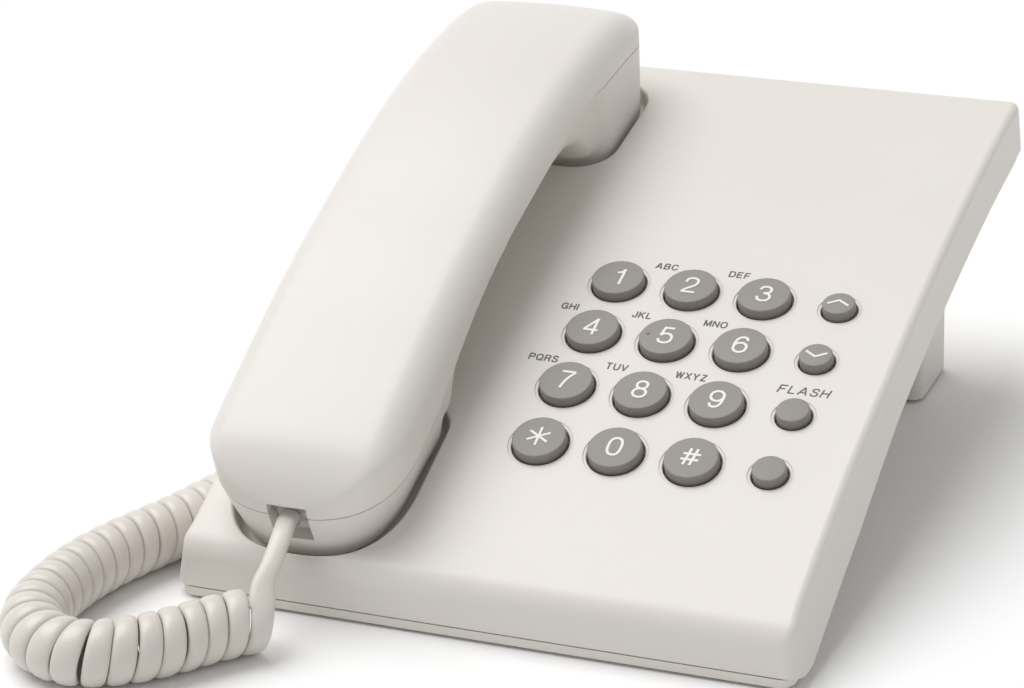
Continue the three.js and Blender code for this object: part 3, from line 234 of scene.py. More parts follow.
def loft(name, rings, ends=True):  # closed rings of as many points each, skinned in order
    count = len(rings[0])
    startPiece()
    bpy.ops.mesh.primitive_grid_add(x_subdivisions=count, y_subdivisions=len(rings) - 1)
    piece = bpy.context.object
    piece.name = name
    setPlaces(piece, [ring[i % count] for ring in rings for i in range(count + 1)])

    def close():
        bpy.ops.mesh.remove_doubles(threshold=1e-7)
        if ends:
            mesh = bmesh.from_edit_mesh(piece.data)
            bmesh.ops.holes_fill(mesh, edges=[e for e in mesh.edges if e.is_boundary], sides=0)
            bmesh.update_edit_mesh(piece.data)
        tidyNormals()

    inEditMode(piece, close)
    return piece


def applyModifier(piece, kind, **values):
    pick(piece)
    tool = piece.modifiers.new(kind.lower(), kind)
    for key, value in values.items():
        setattr(tool, key, value)
    bpy.ops.object.modifier_apply(modifier=tool.name)


def cutWith(piece, cutter, operation="DIFFERENCE"):
    applyModifier(piece, "BOOLEAN", operation=operation, solver="MANIFOLD", object=cutter)
    bpy.data.objects.remove(cutter)
    return piece


def joined(name, pieces):
    startPiece()
    for piece in pieces:
        piece.select_set(True)
    bpy.context.view_layer.objects.active = pieces[0]
    bpy.ops.object.join()
    bpy.context.object.name = name
    return bpy.context.object


def turnedInto(piece, matrix):     # moves the mesh's points, in millimetres, by a matrix
    scaled = Matrix.Scale(milli, 4)
    piece.data.transform(scaled @ matrix @ scaled.inverted())
    return piece


def block(name, size, centre, matrix=None):
    startPiece()
    bpy.ops.mesh.primitive_cube_add(size=1)
    piece = bpy.context.object
    piece.name = name
    setPlaces(piece, [[v.co[i] * size[i] + centre[i] for i in range(3)] for v in piece.data.vertices])
    return turnedInto(piece, matrix) if matrix else piece


def polish(piece, angle, weighted=True):   # smooth shading, with large faces kept flat
    pick(piece)
    bpy.ops.object.shade_smooth_by_angle(angle=math.radians(angle))
    if weighted:
        applyModifier(piece, "WEIGHTED_NORMAL", keep_sharp=True, weight=60)


# ---- materials
class Value:                       # a shader socket that takes part in sums
    def __init__(self, finish, socket):
        self.finish = finish
        self.socket = socket

    def maths(self, operation, first, second):
        return self.finish.node("Math", {"operation": operation}, {0: first, 1: second})

    def __add__(self, other):
        return self.maths("ADD", self, other)

    def __mul__(self, other):
        return self.maths("MULTIPLY", self, other)

    __radd__ = __add__
    __rmul__ = __mul__


class Finish:                      # a material: its shader, and nodes added by type
    def __init__(self, name, **fixed):
        self.material = bpy.data.materials.new(name)
        self.material.use_nodes = True
        self.tree = self.material.node_tree
        self.shader = self.tree.nodes["Principled BSDF"]
        self.set(**fixed)

    def feed(self, socket, value):
        if isinstance(value, Value):
            self.tree.links.new(value.socket, socket)
        elif socket.type == "RGBA" and len(value) == 3:
            socket.default_value = (*value, 1)
        else:
            socket.default_value = value

    def node(self, kind, settings, inputs, output=0):
        made = self.tree.nodes.new("ShaderNode" + kind)
        for key, value in settings.items():
            setattr(made, key, value)
        for key, value in inputs.items():
            self.feed(made.inputs[key], value)
        return Value(self, made.outputs[output])

    def place(self):
        return self.node("TexCoord", {}, {}, "Object")

    def noise(self, scale, detail=2, roughness=0.5, place=None):
        return self.node("TexNoise", {}, {"Vector": place or self.place(), "Scale": scale,
                                          "Detail": detail, "Roughness": roughness})

    def blend(self, share, first, second):
        return self.node("Mix", {"data_type": "RGBA"}, {0: share, 6: first, 7: second}, 2)

    def bump(self, height, strength, distance):
        return self.node("Bump", {}, {"Height": height, "Strength": strength, "Distance": distance})

    def set(self, **inputs):
        for key, value in inputs.items():
            self.feed(self.shader.inputs[key.replace("_", " ")], value)
        return self.material


def linear(red, green, blue):      # a colour as it looks on a screen, 0 to 255
    return tuple(((c / 255 + 0.055) / 1.055) ** 2.4 if c > 10 else c / 3295 for c in (red, green, blue))


def mouldedPlastic(name, color, second, roughness, grain, strength, mottle=26):
    finish = Finish(name, IOR=1.5)
    broad = finish.noise(mottle, 3, 0.55)
    fine = finish.noise(grain, 2, 0.6)
    return finish.set(
        Base_Color=finish.blend(broad, linear(*color), linear(*second)),
        Roughness=roughness - 0.05 + broad * 0.06 + fine * 0.04,
        Normal=finish.bump(fine, strength, 0.00006))


# Two shades, roughness, the grain's fineness and depth, and the fineness of the shades.
plastics = {
    "casingWhite": ((226, 221, 215), (223, 218, 211), 0.42, 2600, 0.12),
    "handsetWhite": ((228, 223, 218), (225, 220, 214), 0.4, 2600, 0.1),
    "cordWhite": ((224, 218, 211), (216, 209, 201), 0.3, 900, 0.08, 60),
    "keyGrey": ((142, 137, 130), (136, 131, 124), 0.5, 3200, 0.2),
    "inkWhite": ((240, 238, 234), (232, 230, 226), 0.5, 4000, 0.1),
    "inkGrey": ((84, 80, 78), (92, 88, 86), 0.5, 4000, 0.1),
    "blackPlastic": ((34, 34, 36), (42, 42, 44), 0.45, 2200, 0.2),
    "greyRubber": ((118, 114, 110), (110, 106, 102), 0.75, 1500, 0.3),
    "blackRubber": ((38, 38, 38), (48, 47, 46), 0.8, 1400, 0.4),
}
(casingWhite, handsetWhite, cordWhite, keyGrey, inkWhite,
 inkGrey, blackPlastic, greyRubber, blackRubber) = (
    mouldedPlastic(name, *values) for name, values in plastics.items())


def platedSteel():
    finish = Finish("platedSteel", Metallic=1.0, IOR=2.5)
    stretched = finish.node("Mapping", {}, {"Vector": finish.place(), "Scale": (1, 1, 18)})
    brushed = finish.noise(700, 3, 0.6, stretched)
    return finish.set(
        Base_Color=finish.blend(brushed, (0.5, 0.5, 0.51), (0.66, 0.66, 0.67)),
        Roughness=0.26 + brushed * 0.16,
        Normal=finish.bump(brushed, 0.2, 0.00004))


def boardGreen():
    finish = Finish("boardGreen", IOR=1.5, Coat_Weight=0.4, Coat_Roughness=0.2)
    grid = finish.node("TexBrick", {"offset": 0.5}, {
        "Vector": finish.place(), "Scale": 120.0, "Mortar Size": 0.08,
        "Color1": (0.02, 0.1, 0.04, 1), "Color2": (0.03, 0.12, 0.05, 1), "Mortar": (0.08, 0.2, 0.08, 1)})
    speck = finish.noise(900, 3, 0.6)
    return finish.set(
        Base_Color=finish.blend(speck * 0.3, grid, (0.02, 0.07, 0.03)), Roughness=0.35 + speck * 0.2)


def clearPlastic():
    finish = Finish("clearPlastic", IOR=1.49, Transmission_Weight=0.85)
    cloud = finish.noise(400, 2, 0.5)
    return finish.set(
        Base_Color=finish.blend(cloud, (0.86, 0.88, 0.88), (0.78, 0.8, 0.8)),
        Roughness=0.08 + cloud * 0.1,
        Normal=finish.bump(cloud, 0.1, 0.00003))


steel = platedSteel()
boardFinish = boardGreen()
clear = clearPlastic()


def dress(piece, material):
    piece.data.materials.clear()
    piece.data.materials.append(material)


def settle(piece, material, slot, body, *nodes):
    dress(piece, material)
    if nodes:
        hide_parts(*nodes)
    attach(piece, body)


# ---- cords: the lead from the handset, the coil on the table, the lead to the base
cord = {
    "coilRoute": [(-45.4, -113.2), (-49.4, -117), (-54, -121.9), (-60, -129.2), (-66.2, -135),
                  (-75.4, -139.6), (-83.8, -138.8), (-90.6, -134.2), (-94.5, -126.8), (-95.6, -115.8),
                  (-94.6, -105), (-91.9, -94.8), (-88, -85.4), (-84, -76), (-80.4, -65.6),
                  (-77.2, -55.6), (-74.2, -46)],
    "handsetLead": [(-44.6, -102, 21.8), (-44, -108, 18.9), (-44.2, -112.4, 16)],
    "baseLead": [(-80.8, -42, 16), (-81.6, -34, 22.5), (-83, -24.5, 30), (-84, -15, 37),
                 (-83, -7.5, 40.6)],
    "turns": 30, "firstTurn": 0.12, "splitTurn": 14.5, "lastTurn": 29.75, "pointsPerTurn": 28,
    "pitches": (0.9, 0.25, 1.3), "coilDiameter": 15.2, "leanStart": -1.4, "leanEnd": 2.0,
    "leanFrom": 0.15, "leanOver": 0.4, "wireWidth": 6.4, "wireThickness": 2.6, "leastGap": 0.16,
    "leadWidth": 4.7, "leadThickness": 3, "leadStraight": 0.35, "leadStep": 1.6, "leadSteps": 14,
    "fadeFrom": 0.7, "fadeOver": 0.3, "lap": 0.5, "flatness": (0.8, 0.9), "sides": 16, "gap": 0.3,
}
jack = {
    "front": 8.4, "height": 9, "notch": (3, 13), "notchSize": (9.8, 24), "notchPlace": (0.3, -12.3),
    "room": (11.1, 15.2, 9.6), "roomPlace": 7.2, "sideS": 97, "sideDepth": 7.1, "reach": 2.4,
    "handsetX": -46,
}


def curveThrough(points, perSegment=40):   # centripetal spline, then even steps along it
    points = [Vector(p) for p in points]
    ends = [points[0] * 2 - points[1]] + points + [points[-1] * 2 - points[-2]]
    line = []
    for k in range(1, len(ends) - 2):
        p = ends[k - 1:k + 3]
        knots = [0.0]
        for a, b in zip(p, p[1:]):
            knots.append(knots[-1] + max((b - a).length, 1e-4) ** 0.5)
        for i in range(perSegment):
            t = knots[1] + (knots[2] - knots[1]) * i / perSegment

            def mix(pair, j, k):
                low, high = knots[j], knots[k]
                return pair[0] * ((high - t) / (high - low)) + pair[1] * ((t - low) / (high - low))

            first = [mix(p[j:], j, j + 1) for j in range(3)]
            second = [mix(first[j:], j, j + 2) for j in range(2)]
            line.append(mix(second, 1, 2))
    line.append(points[-1])
    return line


class Route:                       # a line that is read by its share of length
    def __init__(self, points):
        self.line = curveThrough(points)
        self.lengths = [0.0]
        for a, b in zip(self.line, self.line[1:]):
            self.lengths.append(self.lengths[-1] + (b - a).length)

    def at(self, share):
        goal = clamped(share) * self.lengths[-1]
        low = min(bisect_right(self.lengths, goal), len(self.lengths) - 1) - 1
        start, end = self.lengths[low:low + 2]
        return self.line[low].lerp(self.line[low + 1], (goal - start) / max(end - start, 1e-9))

    def heading(self, share):
        return (self.at(share + 0.002) - self.at(share - 0.002)).normalized()


coilLine = Route([(x, y, cord["coilDiameter"] / 2) for x, y in cord["coilRoute"]])
coilRadius = (cord["coilDiameter"] - cord["wireThickness"]) / 2
upward = Vector((0, 0, 1))


def coilShare(turn):               # the first turns lie a little further apart than the rest
    even, extra, fade = cord["pitches"]
    count = cord["turns"]

    def reached(t):
        return even * t + extra * (1 - math.exp(-t / fade))

    return reached(turn) / reached(count)


def coilPoint(turn):
    share = coilShare(turn)
    along = coilLine.heading(share)
    outward = upward.cross(along).normalized()
    a = 2 * math.pi * turn
    t = clamped((share - cord["leanFrom"]) / cord["leanOver"])
    lean = cord["leanStart"] + (cord["leanEnd"] - cord["leanStart"]) * t * t * (3 - 2 * t)
    return (coilLine.at(share) + outward * (coilRadius * math.sin(a))
            + upward * (coilRadius * math.cos(a)) + along * (lean / 2 * math.cos(a)))


def coilStation(turn):             # place, heading, direction away from the coil's middle, half width
    outward = upward.cross(coilLine.heading(coilShare(turn))).normalized()
    a = 2 * math.pi * turn
    here = coilPoint(turn)
    heading = (coilPoint(turn + 0.02) - coilPoint(turn - 0.02)).normalized()
    thick = outward * math.sin(a) + upward * math.cos(a)
    thick = (thick - heading * thick.dot(heading)).normalized()
    near = [(here - coilPoint(other)).length for other in (turn - 1, turn + 1)
            if 0 <= other <= cord["turns"]]
    half = min(cord["wireWidth"] / 2, (min(near) - cord["leastGap"]) / 2)
    return [here, heading, thick, half, cord["wireThickness"] / 2]


def leadStations(start, through, end, fromPlug):
    # start and end are (place, heading, thick); the section turns evenly from one to the other.
    # fromPlug says that it starts at a plug and ends at the coil, and not the other way round.
    straight = cord["leadStraight"] * cord["leadWidth"]
    line = Route([start[0], start[0] + start[1] * straight, *map(Vector, through),
                  end[0] - end[1] * straight, end[0]])
    count = max(cord["leadSteps"], int(line.lengths[-1] / cord["leadStep"]))
    stations = []
    thick = start[2].copy()
    for i in range(count + 1):
        share = i / count
        heading = start[1] if i == 0 else end[1] if i == count else line.heading(share)
        thick = (thick - heading * thick.dot(heading)).normalized()
        stations.append([line.at(share), heading, thick.copy(),
                         cord["leadWidth"] / 2, cord["leadThickness"] / 2])
    last = stations[-1]
    side = last[1].cross(last[2])
    twist = math.atan2(end[2].dot(side), end[2].dot(last[2]))
    for i, station in enumerate(stations):
        share = i / count
        station[2] = Matrix.Rotation(twist * share, 3, station[1]) @ station[2]
        fade = share if fromPlug else 1 - share     # near the coil it takes the coil's section
        fade = clamped((fade - cord["fadeFrom"]) / cord["fadeOver"])
        station[3] += (cord["wireWidth"] / 2 - station[3]) * fade
        station[4] += (cord["wireThickness"] / 2 - station[4]) * fade
    return stations


def cordStations():
    turns = cord["lastTurn"] - cord["firstTurn"]
    count = round(turns * cord["pointsPerTurn"])
    coil = [coilStation(cord["firstTurn"] + turns * i / count) for i in range(count + 1)]
    forward = cradle.to_3x3() @ Vector((0, -1, 0))
    plugTop = cradle.to_3x3() @ upward
    plugPlace = cradle @ Vector((jack["handsetX"], jack["front"] - jack["reach"], jack["height"]))
    handsetEnd = (plugPlace + forward * cord["gap"], forward, plugTop)
    first, last = coil[0], coil[-1]
    toCoil = (first[0] - first[1] * cord["lap"], first[1], first[2])
    fromCoil = (last[0] + last[1] * cord["wireThickness"], last[1], last[2])
    sideFrame = frameAt(-halfWidth + base["wall"] + 0.3, jack["sideS"], -jack["sideDepth"])
    sidePlace = sideFrame.translation + Vector((-jack["reach"] - cord["gap"], 0, 0))
    baseEnd = (sidePlace, Vector((1, 0, 0)), sideFrame.to_3x3() @ upward)
    lead = leadStations(handsetEnd, cord["handsetLead"], toCoil, True)
    tail = leadStations(fromCoil, cord["baseLead"], baseEnd, False)
    middle = len(lead) + round((cord["splitTurn"] - cord["firstTurn"]) * cord["pointsPerTurn"])
    stations = lead + coil + tail
    return stations[:middle + 1], stations[middle:]


def ringOf(station):               # a flat wire's section: full and round outside, flatter inside
    place, heading, thick, half, depth = station
    wide = heading.cross(thick)
    across, out = cord["flatness"]
    return [place + wide * (half * powered(math.cos(b), across))
            + thick * (depth * powered(math.sin(b), out)) for b in fullTurn(cord["sides"])]


def makeCord(name, stations, nodes):
    path = [s[0] * milli for s in stations]
    piece = loft(name, [ringOf(s) for s in stations])
    polish(piece, 60, weighted=False)
    dress(piece, cordWhite)
    length = sum((b - a).length for a, b in zip(path, path[1:]))
    print(f"{name}: {len(stations)} stations, {length:.3f} m of wire")
    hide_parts(*nodes)
    return piece, path, round(length, 3)


frontStations, rearStations = cordStations()
frontCord = makeCord("curlyCord", frontStations, ("cord_coil", "cord_lead_handset"))
rearCord = makeCord("curlyCordRear", rearStations, ("cord_lead_base",))
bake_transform(frontCord[0])
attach(rearCord[0], "base")
print("cord laid")


# ---- outlines of the handset and of its two pockets, in the cradle's frame (x, v)
handset = {
    "x": -46, "halfWidth": 24.5, "front": 3.5, "rear": 189, "mouthLength": 25, "mouthPower": 2.6,
    "mouthRear": 50, "mouthCorner": 8, "draft": 0.36, "draftRear": 0.22, "draftFront": 0.12,
    "earFront": 149.5, "earBlockCorner": 10, "earCorner": 13, "shoulder": 7, "crownDrop": 1.6,
    "handleInset": 2, "handleRounding": 4.5, "bottomFillet": 2.2, "voxel": 0.8, "smoothing": 10,
    "partingGap": 0.25, "overlap": 3, "earHoles": 170, "earHoleRadius": 1.2, "earHoleCircle": 5,
    "mouthHoles": 31, "mouthHoleRadius": 0.7, "mouthHoleStep": 2, "screws": (74, 124),
    "screwWell": 3.25, "screwWellDepth": 2.6, "tiltSpan": 3,
    "crownFoot": [(193.6, 8), (185, -8), (3.5, -8)],
    "gripFront": [(30, 6)], "gripRear": [(152, 4), (169, 4)], "gripStep": 6,
    "crown": [(3.5, 10.4), (5, 15.5), (8.8, 20.3), (15, 24.2), (26, 27), (41, 29.7), (56, 32.4),
              (73, 34.5), (92, 35.8), (110, 36.9), (128, 37.2), (144, 36.4), (158, 34.6), (171, 32.2),
              (182, 29), (189.5, 24.8), (193.6, 19.6)],
    "parting": [(3.5, 10.1), (17.5, 11.9), (30, 13.5), (42, 15.6), (54, 19.2), (66, 22.4), (78, 24.5),
                (92, 25.8), (110, 26.3), (128, 26.3), (141, 25.6), (154, 24), (169, 21.4), (182, 18.7),
                (194, 16)],
    "underside": [(50, 6), (54, 11), (60, 15.2), (70, 18.2), (90, 20.2), (107, 20.6), (128, 20),
                  (138, 17.6), (144, 13.4), (148, 7)],
}
pockets = {
    "depth": 5, "mouthHalfWidth": 23, "mouthFront": 2.3, "mouthRear": 52, "mouthCorner": 8,
    "mouthLip": 0.6, "leftHug": 1.4, "earGap": 1.4, "earFrontGap": 3, "earLip": 0.9,
    "floorFillet": 1.6, "lipTurn": 82, "clearance": 0.3, "above": 9,
}
handX = handset["x"]
handHalf = handset["halfWidth"]
mouthEnds = (handset["front"], handset["mouthRear"])
earEnds = (handset["earFront"], handset["rear"])


def mouthOutline(inset, rear, corner, halfWide, front, steps=36):
    a = halfWide - inset
    d = handset["mouthLength"] - inset
    near = front + inset
    power = 2 / handset["mouthPower"]
    half = [math.pi * i / steps for i in range(steps + 1)]
    outline = [(handX - a * powered(math.cos(t), power), near + d - d * abs(math.sin(t)) ** power)
               for t in half]
    back = roundedRectangle(handX - a, handX + a, near, rear - inset, 1, max(corner - inset, 1))
    return outline + back[9:27]    # its two rear corners


def earOutline(side, front, rear, frontCorner, rearCorner):
    return roundedRectangle(handX - side, handX + side, front, rear, frontCorner, rearCorner)


def drawnIn(x, v, depth):          # the mouth end narrows downwards, towards its middle
    middle = handset["front"] + handset["mouthLength"]
    along = clamped((v - middle) / (handset["mouthRear"] - middle))
    draft = between(handset["draft"], handset["draftRear"], along)
    x = handX + (x - handX) * (1 - draft * depth / handHalf)
    if v < middle:
        v = middle + (v - middle) * (1 - handset["draftFront"] * depth / handset["mouthLength"])
    return x, v


def leaned(v, w):                  # the ear end's rear face stands upright
    far = v > sum(earEnds) / 2
    return v + w * math.tan(chordTilt) if far else v


def mouthPocketRing(grow, depth):
    half = pockets["mouthHalfWidth"]
    outline = mouthOutline(-grow, pockets["mouthRear"], pockets["mouthCorner"], half,
                           pockets["mouthFront"])
    ring = []
    for x, v in outline:           # the left side lies closer to the bowl
        x += pockets["leftHug"] * clamped((handX - x) / half)
        x, v2 = drawnIn(x, v, max(depth, 0))
        ring.append((x, v2, topAt(v) - depth))
    return ring


def earPocketRing(grow, depth):
    side = handHalf + pockets["earGap"] + grow
    outline = earOutline(side, handset["earFront"] - pockets["earFrontGap"] - grow,
                         handset["rear"] + pockets["earGap"] + grow,
                         handset["earBlockCorner"] + grow, handset["earCorner"] + grow)
    return [(x, leaned(v, topAt(v) - depth), topAt(v) - depth) for x, v in outline]


def pocketCutter(name, ringAt, lip, steps=6):   # a filleted floor, and a mouth with a round lip
    depth, fillet = pockets["depth"], pockets["floorFillet"]
    rings = [ringAt(-fillet * (1 - math.sin(a)), depth - fillet * (1 - math.cos(a)))
             for a in quarter(steps)]
    for i in range(steps + 1):
        a = math.radians(pockets["lipTurn"]) * i / steps
        rings.append(ringAt(lip * (1 - math.cos(a)), lip * (1 - math.sin(a))))
    rings.append([(x, v, w + pockets["above"]) for x, v, w in rings[-1]])
    return turnedInto(loft(name, rings), cradle)


# ---- the casing's top
casing = {
    "archSteps": 80, "edgeSteps": 12, "sideSteps": 7, "spans": 8, "sideRound": 2.0, "roundShare": 0.6,
    "seamHalf": 75.6, "frontFlare": 0.5, "taperFront": 0.2, "taperRear": 0.08, "frontCorner": 4,
    "rearCorner": 3, "rearReach": 0.8, "holeGap": 0.5, "rimWidth": 0.85, "rimDepth": 0.24,
    "holeDepth": 6, "holeSides": 56, "socketWidth": 8.3, "lineSocketWidth": 10,
    "socketHeight": 6.8, "openingGap": 0.8, "openingDepth": 12, "rearHeight": 60.95,
    "lineJackX": 30, "knobWidth": 4,
    "knobHeight": 3.4, "knobTravel": 3, "hookPlace": 8.5, "hookHole": 3.6, "hookReach": (-12, 5),
    "hookShift": 3, "hookRoom": (15, 9.4, 3.8), "cavityFloor": -30, "shellRise": 12,
    "rimShape": [(0, -1.8), (0.2, -1), (0.78, -0.9)], "rimTop": (0.03, 4),
}
pad = {
    "firstX": 0.11, "firstS": 44.52, "pitchX": 18.56, "pitchY": 18.93, "dialRadius": 6.4,
    "functionRadius": 4, "height": 2.1, "flange": 1.3, "flangeTop": -2.5, "flangeHeight": 1.1,
    "sides": 56, "edge": 0.42, "flangeEdge": 0.2, "crown": [(0.72, 0.06), (0.4, 0.1), (0.12, 0.11)],
    "nibRadius": 0.5, "nibX": -4.4, "nibSink": 0.1,
}
columns = [pad["firstX"] + pad["pitchX"] * c for c in range(4)]
rows = [pad["firstS"] + pad["pitchY"] * r for r in range(4)]
keyNames = [["key_" + sign for sign in row.split()]
            for row in ("star 0 hash redial", "7 8 9 flash", "4 5 6 down", "1 2 3 up")]


def keyRadius(column):
    return pad["dialRadius"] if column < 3 else pad["functionRadius"]


def archProfile(inset, rear=rearY):
    front, rear, radius = frontY + inset, rear - inset, topRadius - inset

    def rounded(edge, r, start, side):
        y = edge - side * r
        z = archZ + math.sqrt((radius - r) ** 2 - (y - archY) ** 2)
        meet = math.atan2(z - archZ, y - archY)
        steps = casing["edgeSteps"]
        angles = [start + (meet - start) * i / steps for i in range(steps + 1)]
        return [(y + r * math.cos(a), z + r * math.sin(a)) for a in angles]

    frontArc = rounded(front, max(base["frontEdge"] - inset, 1), math.pi, -1)
    rearArc = rounded(rear, max(base["rearEdge"] - inset, 1), 0, 1)[::-1]
    y0, y1, steps = frontArc[-1][0], rearArc[0][0], casing["archSteps"]
    places = [y0 + (y1 - y0) * i / steps for i in range(1, steps)]
    return frontArc + [(y, archHeight(y, inset)) for y in places] + rearArc


def planHalf(y, rear):             # half the width at the seam, less where the corners are rounded
    half = casing["seamHalf"] + casing["frontFlare"] * (rear - y) / base["depth"]
    for edge, radius in ((y - frontY, casing["frontCorner"]), (rear - y, casing["rearCorner"])):
        if edge < radius:
            half -= radius - math.sqrt(max(radius ** 2 - (radius - max(edge, 0)) ** 2, 0))
    return half


def casingSection(y, top, rear):   # from its lower left round to its lower right
    low = seamHeight(y)
    slope = between(casing["taperFront"], casing["taperRear"], (y - frontY) / base["depth"])
    radius = min(casing["sideRound"], (top - low) * casing["roundShare"])
    half = planHalf(y, rear)
    straight = top - radius
    edge = half - slope * (straight - low)
    side = [(half, low), (half - slope * (straight - low) / 2, (low + straight) / 2)]
    side += [(edge - radius + radius * math.cos(a), straight + radius * math.sin(a))
             for a in quarter(casing["sideSteps"])]
    inner = side[-1][0]
    spans = casing["spans"]
    flat = [(inner * (1 - 2 * i / spans), top) for i in range(1, spans)]
    left = [(-x, z) for x, z in reversed(side)]
    return [(x, y, z) for x, z in side + flat + left]


def circleRings(profile, sides):   # rings about z from (radius, height) pairs
    return [[(r * math.cos(a), r * math.sin(a), h) for a in fullTurn(sides)] for r, h in profile]


def upright(name, radius, ends, sides, x=0, y=0):
    rings = circleRings([(radius, end) for end in ends], sides)
    return loft(name, [[(a + x, b + y, z) for a, b, z in ring] for ring in rings])


def keyHole(column, x, s):
    r = keyRadius(column) + casing["holeGap"]
    wide, deep = casing["rimWidth"], casing["rimDepth"]
    profile = [(r, -casing["holeDepth"])]
    profile += [(r + wide * share, deep * down) for share, down in casing["rimShape"]]
    profile += [(r + wide, height) for height in casing["rimTop"]]
    return turnedInto(loft("keyHole", circleRings(profile, casing["holeSides"])), frameAt(x, s))


def casingOpenings():              # for the two sockets and the ringer's knob
    gap, deep, level = casing["openingGap"], casing["openingDepth"], casing["rearHeight"]
    high = casing["socketHeight"] + gap
    knobSpan = casing["knobWidth"] + 2 * casing["knobTravel"] + 1
    side = frameAt(-halfWidth, jack["sideS"], -jack["sideDepth"])
    line = (casing["lineSocketWidth"] + gap, deep, high)
    return [block("opening", line, (casing["lineJackX"], rearY, level)),
            block("opening", (knobSpan, deep, casing["knobHeight"] + 1), (0, rearY, level)),
            block("opening", (deep, casing["socketWidth"] + gap, high), (0, 0, 0), side)]


def hookOpenings():                # the plunger's bore, and room for its plate when it is up
    v = handset["earFront"] + casing["hookPlace"]
    hook = cradle @ Vector((handX, v, topAt(v) - pockets["depth"]))
    bore = upright("opening", casing["hookHole"], casing["hookReach"], 40)
    plunger = frame["nodes"]["hook_plunger"]
    foot = min((plunger.matrix_world @ vertex.co).z for vertex in plunger.data.vertices) / milli
    high = casing["hookRoom"][2]
    room = block("opening", casing["hookRoom"], (hook.x + casing["hookShift"], hook.y, foot + high / 2))
    return [turnedInto(bore, Matrix.Translation(hook)), room]


def makeCasing():
    rear = rearY + casing["rearReach"]
    top = loft("baseTop", [casingSection(y, z, rear) for y, z in archProfile(0, rear)])
    wall = base["wall"]
    arch = archProfile(wall)
    low = casing["cavityFloor"]
    outline = [(arch[0][0], low)] + arch + [(arch[-1][0], low)]
    hollow = [(-halfWidth + wall, y, z) for y, z in outline]
    cavity = prism("cavity", hollow, (base["width"] - 2 * wall, 0, 0))
    shells = []
    for ringAt in (mouthPocketRing, earPocketRing):
        rings = [ringAt(wall, pockets["depth"] + wall),
                 [(x, v, w + casing["shellRise"]) for x, v, w in ringAt(wall, 0)]]
        shells.append(turnedInto(loft("pocketShell", rings), cradle))
    cutWith(cavity, joined("pocketShells", shells))
    cutWith(top, cavity)
    cutters = [pocketCutter("mouthPocket", mouthPocketRing, pockets["mouthLip"]),
               pocketCutter("earPocket", earPocketRing, pockets["earLip"])]
    cutters += [keyHole(c, x, s) for c, x in enumerate(columns) for s in rows]
    cutters += casingOpenings()
    cutWith(top, joined("cutters", cutters))
    for opening in hookOpenings():
        cutWith(top, opening)
    polish(top, 28)
    settle(top, casingWhite, "casing_white", "base", "base_top_shell")


makeCasing()
print("casing made")


# ---- the handset: one smooth body, then parted along its seam
def blockBottom(v, ends):
    return topAt(min(max(v, ends[0]), ends[1])) - pockets["depth"] + pockets["clearance"]


def offsetLine(line, by):          # moves a line of (v, w) points to its right-hand side
    moved = []
    for i, (v, w) in enumerate(line):
        a, b = line[max(i - 1, 0)], line[min(i + 1, len(line) - 1)]
        dv, dw = b[0] - a[0], b[1] - a[1]
        length = math.hypot(dv, dw)
        moved.append((v + dw / length * by, w - dv / length * by))
    return moved


def partingAt(v):
    return readAt(handset["parting"], v)


def acrossStations(half, rounding, steps=8):   # (place across, how far the section draws in there)
    side = [(half - rounding * (1 - math.cos(a)), rounding * (1 - math.sin(a))) for a in quarter(steps)]
    inner = [(side[-1][0] * k / 4, 0) for k in (3, 2, 1, 0)]
    right = side + inner
    return [(-x, d) for x, d in right] + [(x, d) for x, d in right[-2::-1]]


def crownBand():
    line = smooth(handset["crown"], 150)
    *foot, (front, low) = handset["crownFoot"]
    rings = []
    for across, inward in acrossStations(handHalf, handset["shoulder"]):
        ring = offsetLine(line, inward) + foot + [(front + inward, low)]
        t = across / handHalf
        rings.append([(handX + across, v, w - (handset["crownDrop"] * t * t if w > foot[0][1] else 0))
                      for v, w in ring])
    return loft("crownBand", rings)


def planPrism():
    outline = mouthOutline(0, handset["rear"], handset["earCorner"], handHalf, handset["front"])
    return loft("plan", [[(x, leaned(v, w), w) for x, v in outline] for w in (-20, 60)])


def filletSteps(further):          # (lift, inset) round the underside's edge, then straight up
    fillet = handset["bottomFillet"]
    for lift in [fillet * (1 - math.cos(a)) for a in quarter(5)] + further:
        yield lift, fillet - math.sqrt(max(fillet ** 2 - (fillet - min(lift, fillet)) ** 2, 0))


def mouthBlock():
    rings = []
    for lift, inset in filletSteps([5, 8, 11, 30]):
        outline = mouthOutline(inset, handset["mouthRear"], handset["mouthCorner"],
                               handHalf, handset["front"])
        ring = []
        for x, v in outline:
            high = partingAt(v) + handset["overlap"]
            w = min(blockBottom(v, mouthEnds) + lift, high)
            x, v = drawnIn(x, v, max(0, high - handset["overlap"] - w))
            ring.append((x, v, w))
        rings.append(ring)
    return loft("mouthBlock", rings)


def earBlock():
    rings = []
    for lift, inset in filletSteps([10, 30]):
        outline = earOutline(handHalf - inset, handset["earFront"] + inset, handset["rear"] - inset,
                             handset["earBlockCorner"] - inset, handset["earCorner"] - inset)
        ring = []
        for x, v in outline:
            w = min(blockBottom(v, earEnds) + lift, partingAt(v) + handset["overlap"])
            ring.append((x, leaned(v, w), w))
        rings.append(ring)
    return loft("earBlock", rings)


def handleGrip():
    line = handset["gripFront"] + smooth(handset["underside"], 70) + handset["gripRear"]
    back = range(line[-1][0], line[0][0] - 1, -handset["gripStep"])
    top = [(v, partingAt(v) + handset["overlap"]) for v in back]
    rings = []
    half = handHalf - handset["handleInset"]
    for across, inward in acrossStations(half, handset["handleRounding"]):
        rings.append([(handX + across, v, w + inward) for v, w in line]
                     + [(handX + across, v, w) for v, w in top])
    return loft("handleGrip", rings)


